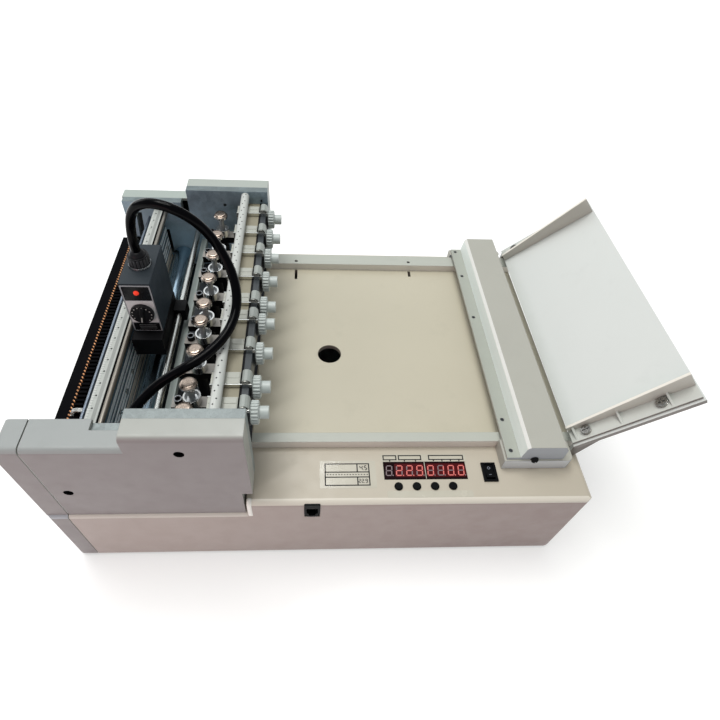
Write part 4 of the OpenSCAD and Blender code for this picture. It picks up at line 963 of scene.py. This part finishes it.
bm = bmesh.new()
for degrees in range(0, 360, 20):
    a = math.radians(degrees)
    add_cyl(bm, P(SENSOR_X + 6.3 * math.cos(a), SENSOR_Y + 6.3 * math.sin(a), 194.4), UP, 1.0, 5.6, seg=8)
add_piece(bm, "gland_nut", "sensor", "sensor_plastic", M_GLAND)
bm = bmesh.new()
add_cyl(bm, P(SENSOR_X, SENSOR_Y, 190.7), UP, 8.0, 1.3, 7.6, seg=40)
add_piece(bm, "gland_ring", "sensor", "sensor_plastic", M_COLLAR)
bm = bmesh.new()
GLAND_CAP = [(5.6, 198.0), (5.4, 198.7), (4.4, 200.2), (3.6, 201.2)]
add_tube(bm, [P(SENSOR_X, SENSOR_Y, z) for _, z in GLAND_CAP], [r for r, _ in GLAND_CAP], 24)
add_piece(bm, "gland_cap", "sensor", "sensor_plastic", M_BLACK, smooth=True)


def dial_mark(bm, x0, z0, x1, z1, proud):
    """Thin plate on the dial, turned with it; proud is how far its ground stands off the sensor's front."""
    axis = P(SENSOR_X, SENSOR_FRONT - proud, DIAL_Z)
    corners = [(x0, z0), (x1, z0), (x1, z1), (x0, z1)]
    ends = [[bm.verts.new(axis - Vector((0, t, 0)) + DIAL_TURN @ (Vector((x, 0, z)) * MM)) for x, z in corners]
            for t in (0, DIAL_MARK_T)]
    bm.faces.new(ends[0])
    bm.faces.new(ends[1][::-1])
    join_rings(bm, ends)


bm = bmesh.new()
dial_mark(bm, -0.45, -6.5, 0.45, -1.6, DIAL_GRIP)
for degrees in range(-130, 131, 26):
    a = math.radians(degrees)
    x, z = DIAL_MARK_R * math.sin(a), DIAL_MARK_R * math.cos(a)
    dial_mark(bm, x - DIAL_MARK_HALF, z - DIAL_MARK_HALF, x + DIAL_MARK_HALF, z + DIAL_MARK_HALF, DIAL_BASE)
add_piece(bm, "dial_marks", "dial", "white_plastic", M_WHITE)


# Ribbed bars on the moving knife's right face: a ground in painted shade with ribs in near-white colours as painted
# light, each with its outer x, lowest and highest z, and a row of screws
KNIFE_FACE_X = 50.2
RIB_CHAMFER = 0.2
RIB_X = 51.2
KNIFE_BARS = (
    ("knife_bar_upper", M_BAR_BLUE, (50.8, 126, 136), ((130.4, 133.8), (126.4, 127.8))),
    ("knife_bar_middle", M_BAR_GREY, (50.8, 112, 123), ((120.4, 122.6), (116.0, 118.6), (112.2, 113.8))),
    ("knife_bar_lower", M_BAR_TAN, (50.7, 100, 110), ((105.0, 109.4), (100.4, 102.8))))


def rib(bm, x, z0, z1, mat):
    """Bar along the knife with its two outer edges broken."""
    c = RIB_CHAMFER
    outline = [(KNIFE_FACE_X, z0), (x - c, z0), (x, z0 + c), (x, z1 - c), (x - c, z1), (KNIFE_FACE_X, z1)]
    add_slab(bm, outline, Y_IN + 4, Y_FAR - 4, mat)


for name, mat, ground, ribs in KNIFE_BARS:
    bm = bmesh.new()
    rib(bm, *ground, 1)
    for z0, z1 in ribs:
        rib(bm, RIB_X, z0, z1, 0)
    add_piece(bm, name, "knife", "tool_steel", mat, M_BAR_GROOVE_SHADE)
bm = bmesh.new()
for k in range(12):
    add_cyl(bm, P(51.5, Y_IN + 14 + k * 18.4, 117.5), (1, 0, 0), 2.1, 0.8, seg=20)
add_piece(bm, "knife_bar_screws", "knife", "screws", M_SCREW)


# Pale strip in the seam of the end cover: a painted highlight on the seam's lit edge
bm = bmesh.new()
add_box(bm, P(14.6, 2.3, 71), P(15.2, 3.4, 152.5))
break_edges(bm, 0.15)
add_piece(bm, "seam_highlight_strip", "machine", "moulding", M_TRAY)


# Rounded corner where the panel steps down to the ledge, pale as a painted highlight: CORNER_SECTION gives x and the
# distance out of the surface, and is carried up the front wall and over the panel's rounded edge
PANEL_R, PANEL_R_Z = 5, 82
CORNER_SECTION = [(143.4, 0.03), (141.4, 0.14), (140.5, 0.1), (140.0, -0.25), (139.86, -0.8), (139.86, -2),
                  (140.2, -2), (140.2, -0.5), (143.4, -0.4)]
rise = [(0, z, -1, 0) for z in (68.6, 74, 78)]
for k in range(9):
    a = math.radians(90 * k / 8)
    rise.append((PANEL_R - PANEL_R * math.cos(a), PANEL_R_Z + PANEL_R * math.sin(a), -math.cos(a), math.sin(a)))
bm = bmesh.new()
add_loft(bm, [[bm.verts.new(P(x, y + d * ny, z + d * nz)) for x, d in CORNER_SECTION] for y, z, ny, nz in rise])
add_piece(bm, "panel_corner_painted_highlight", "machine", "moulding", M_CORNER_HIGHLIGHT, smooth=True)


# Rim of the socket in the front wall, its contacts, and a beige filler at each side
SOCKET_OUTER = [(182.2, 66.4), (189.2, 66.4), (189.8, 70), (191.4, 71), (191.4, 84.6), (190.8, 85.2), (180.6, 85.2),
                (180.0, 84.6), (180.0, 71), (181.6, 70)]
SOCKET_HOLE = [(183.4, 68.4), (188.0, 68.4), (188.6, 71.5), (189.8, 72.2), (189.8, 80.2), (189.4, 80.6), (182.0, 80.6),
               (181.6, 80.2), (181.6, 72.2), (182.8, 71.5)]
SOCKET_BACK = 3.6
SOCKET_LOOPS = ((SOCKET_OUTER, SOCKET_BACK), (SOCKET_OUTER, 0.0), (SOCKET_OUTER, -0.25), (SOCKET_HOLE, -0.25),
                (SOCKET_HOLE, 0.38))
bm = bmesh.new()
loops = [[bm.verts.new(P(x, y, z)) for x, z in outline] for outline, y in SOCKET_LOOPS]
join_rings(bm, loops)
back = [bm.verts.new(P(x, SOCKET_BACK, z)) for x, z in SOCKET_HOLE]
for i in range(len(back)):
    j = (i + 1) % len(back)
    for loop in (loops[0], loops[-1]):
        bm.faces.new((loop[i], loop[j], back[j], back[i]))
add_piece(bm, "socket_rim", "machine", "black_plastic", M_DEEP)
bm = bmesh.new()
for k in range(8):
    add_box(bm, P(182.6 + 0.8 * k, 1.2, 76.4), P(183.1 + 0.8 * k, 3.4, 77.3))
add_piece(bm, "socket_contacts", "machine", "black_plastic", M_COLLAR)
bm = bmesh.new()
for x0, x1 in ((179.05, 180.1), (191.3, 192.95)):
    add_box(bm, P(x0, -0.02, 65.7), P(x1, 0.4, 80.9))
add_piece(bm, "socket_fillers", "machine", "moulding", M_MOULD)


# Deeper edge under the front of the tray, in the painted shade of the tray's front faces: TRAY_EDGE gives y and the
# height above the tray's upper face
TRAY_ANGLE = math.radians(42)
TRAY_FOOT = (378.5, 101.5)
TRAY_EDGE = [(36.0, -1.9), (38.4, -1.9), (38.4, -2.6), (37.2, -3.8), (36.0, -3.8)]


def on_tray(u, y, w):
    """A point given along the tray's slope, across it and above its upper face."""
    c, s = math.cos(TRAY_ANGLE), math.sin(TRAY_ANGLE)
    return P(TRAY_FOOT[0] + u * c - w * s, y, TRAY_FOOT[1] + u * s + w * c)


bm = bmesh.new()
add_loft(bm, [[bm.verts.new(on_tray(u, y, w)) for y, w in TRAY_EDGE] for u in (1.5, 45, 88.6)])
add_piece(bm, "tray_edge", "machine", "moulding", M_TRAY_SIDE_SHADE)


# Dark sheet in the gap between the slide bar and the rail: painted shade
bm = bmesh.new()
add_box(bm, P(138.5, Y_IN + 0.2, 157.9), P(140.1, Y_FAR - 0.2, 158.06))
add_piece(bm, "rail_gap_painted_shade", "machine", "dark_metal", M_SHADE_BLACK)


# Carriages: pads on top, thin sheets at both sides, a curled clip over the rail, a ring on the arm, and the turned
# cap of each thumb screw
PAD_Z, PAD_CHAMFER = (160.4, 160.85), 0.25
PAD_XS = ((129.8, 138.3), (120.4, 122.6))
FRONT_SHEET = [(119.6, 149), (124.0, 149), (124.0, 157.9), (145.4, 157.9), (146.2, 158.6), (146.2, 160.9),
               (119.6, 160.9)]
BACK_SHEET = [(119.6, 150), (123.0, 150), (123.0, 160.8), (119.6, 160.8)]
CURL = [(139.95, 160.6), (140.0, 161.9), (140.6, 162.9), (141.7, 163.5), (143.4, 163.5), (145.0, 162.6),
        (146.0, 161.0), (146.22, 158.6), (146.22, 154.5), (146.02, 154.5), (146.0, 158.4), (145.5, 160.6),
        (144.6, 161.9), (143.2, 162.6), (141.9, 162.7), (141.0, 162.2), (140.6, 161.4), (140.55, 160.6)]
ARM_RING = ((2.0, 137.7), (2.72, 137.7), (2.72, 138.15), (2.0, 138.15))
ARM_RING_X, ARM_RING_STEPS = 94.7, 24
THUMB_CAP = [(0, 155.6), (4.4, 155.6), (4.65, 155.85), (4.4, 156.1), (2.8, 156.02), (1.1, 156.1), (0, 156.2)]


def pad(bm, x0, y0, x1, y1):
    """Low pad with its upper edges broken."""
    rings = []
    for z, c in zip(PAD_Z, (0, PAD_CHAMFER)):
        corners = ((x0 + c, y0 + c), (x1 - c, y0 + c), (x1 - c, y1 - c), (x0 + c, y1 - c))
        rings.append([bm.verts.new(P(x, y, z)) for x, y in corners])
    bm.faces.new(rings[0][::-1])
    bm.faces.new(rings[1])
    join_rings(bm, rings)


for i, cy in enumerate(CARRIAGE_Y, 1):
    bm = bmesh.new()
    for y0, y1 in ((cy - 4.7, cy - 0.5), (cy - 0.1, cy + 4.8)):
        for x0, x1 in PAD_XS:
            pad(bm, x0, y0, x1, y1)
    add_slab(bm, FRONT_SHEET, cy - 5.6, cy - 5.02, 1)
    add_slab(bm, BACK_SHEET, cy + 5.02, cy + 5.5, 1)
    add_slab(bm, CURL, cy - 4.2, cy + 4.9, 2)
    rings = [[bm.verts.new(P(ARM_RING_X + r * c, cy + r * s, z)) for c, s in circle(ARM_RING_STEPS)]
             for r, z in ARM_RING]
    for f in join_rings(bm, rings + rings[:1]):
        f.material_index = 3
    add_piece(bm, f"carriage_trim_{i}", f"carriage_{i}", "carriage_metal", M_TAN, M_BRIGHT, M_CURL, M_COLLAR)
    bm = bmesh.new()
    add_lathe(bm, P(THUMB_X, cy, 0), THUMB_CAP)
    add_piece(bm, f"thumb_cap_{i}", f"thumb_screw_{i}", "bright_steel", M_HEAD, smooth=True)


# Stage: a pale floor, and a backdrop behind its edge that only the camera sees, so that it changes no light
FLOOR_HALF, FLOOR_Z = 8, -0.0005
BACKDROP_R = 11.5
floor_mat = Mat("floor")
floor_mat.shader({"Base Color": floor_mat.mix(floor_mat.noise(3, 3), (0.60, 0.60, 0.597), (0.63, 0.63, 0.627)),
                  "Roughness": 0.7, "Emission Color": (1.0, 1.0, 1.0, 1), "Emission Strength": 0.42})
bm = bmesh.new()
bmesh.ops.create_grid(bm, x_segments=1, y_segments=1, size=FLOOR_HALF)
floor = obj_from(bm, "floor", floor_mat.m)
floor.location.z = FLOOR_Z

backdrop_mat = Mat("backdrop")
backdrop_mat.shader({"Base Color": (0.0, 0.0, 0.0, 1), "Specular IOR Level": 0.0,
                     "Emission Color": (0.97, 0.97, 0.97, 1), "Emission Strength": 1.0})
bm = bmesh.new()
bmesh.ops.create_uvsphere(bm, u_segments=48, v_segments=24, radius=BACKDROP_R)
backdrop = obj_from(bm, "backdrop", backdrop_mat.m, smooth=True)
backdrop.visible_diffuse = backdrop.visible_glossy = backdrop.visible_transmission = False
backdrop.visible_shadow = backdrop.visible_volume_scatter = False


# Soft studio light
world = bpy.data.worlds.new("world")
scene.world = world
world.use_nodes = True
sky = world.node_tree.nodes["Background"]
sky.inputs["Color"].default_value = (0.95, 0.98, 1.0, 1)
sky.inputs["Strength"].default_value = 0.33


def aim(light, direction):
    light.rotation_mode = "QUATERNION"
    light.rotation_quaternion = Vector(direction).to_track_quat("-Z", "Y")


def sun(name, direction, energy, angle, colour):
    d = bpy.data.lights.new(name, "SUN")
    d.energy, d.angle, d.color = energy, math.radians(angle), colour
    aim(add_object(name, d), direction)


def area(name, place, target, size, energy, colour):
    d = bpy.data.lights.new(name, "AREA")
    d.energy, d.color, d.shape = energy, colour, "RECTANGLE"
    d.size, d.size_y = size
    o = add_object(name, d)
    o.location = place
    aim(o, Vector(target) - Vector(place))


sun("key", (0.12, -0.10, -1.0), 2.13, 40, (1.0, 1.0, 0.97))
area("back_panel", (-0.3, 1.5, 1.5), (0, 0, 0.1), (2.0, 1.0), 6, (0.92, 0.97, 1.0))
area("strip", (-0.25, 0.35, 1.3), (0, 0, 0.15), (0.7, 0.012), 2.8, (1.0, 1.0, 1.0))
area("front_fill", (-0.55, -0.7, 0.25), (-0.1, -0.1, 0.05), (0.5, 0.5), 0.8, (1.0, 0.52, 0.54))
area("back_left", (-1.3, 0.9, 0.75), (0, 0, 0.12), (0.8, 0.8), 4.5, (0.96, 0.98, 1.0))

scene.view_settings.view_transform = "Standard"
scene.view_settings.look = "None"
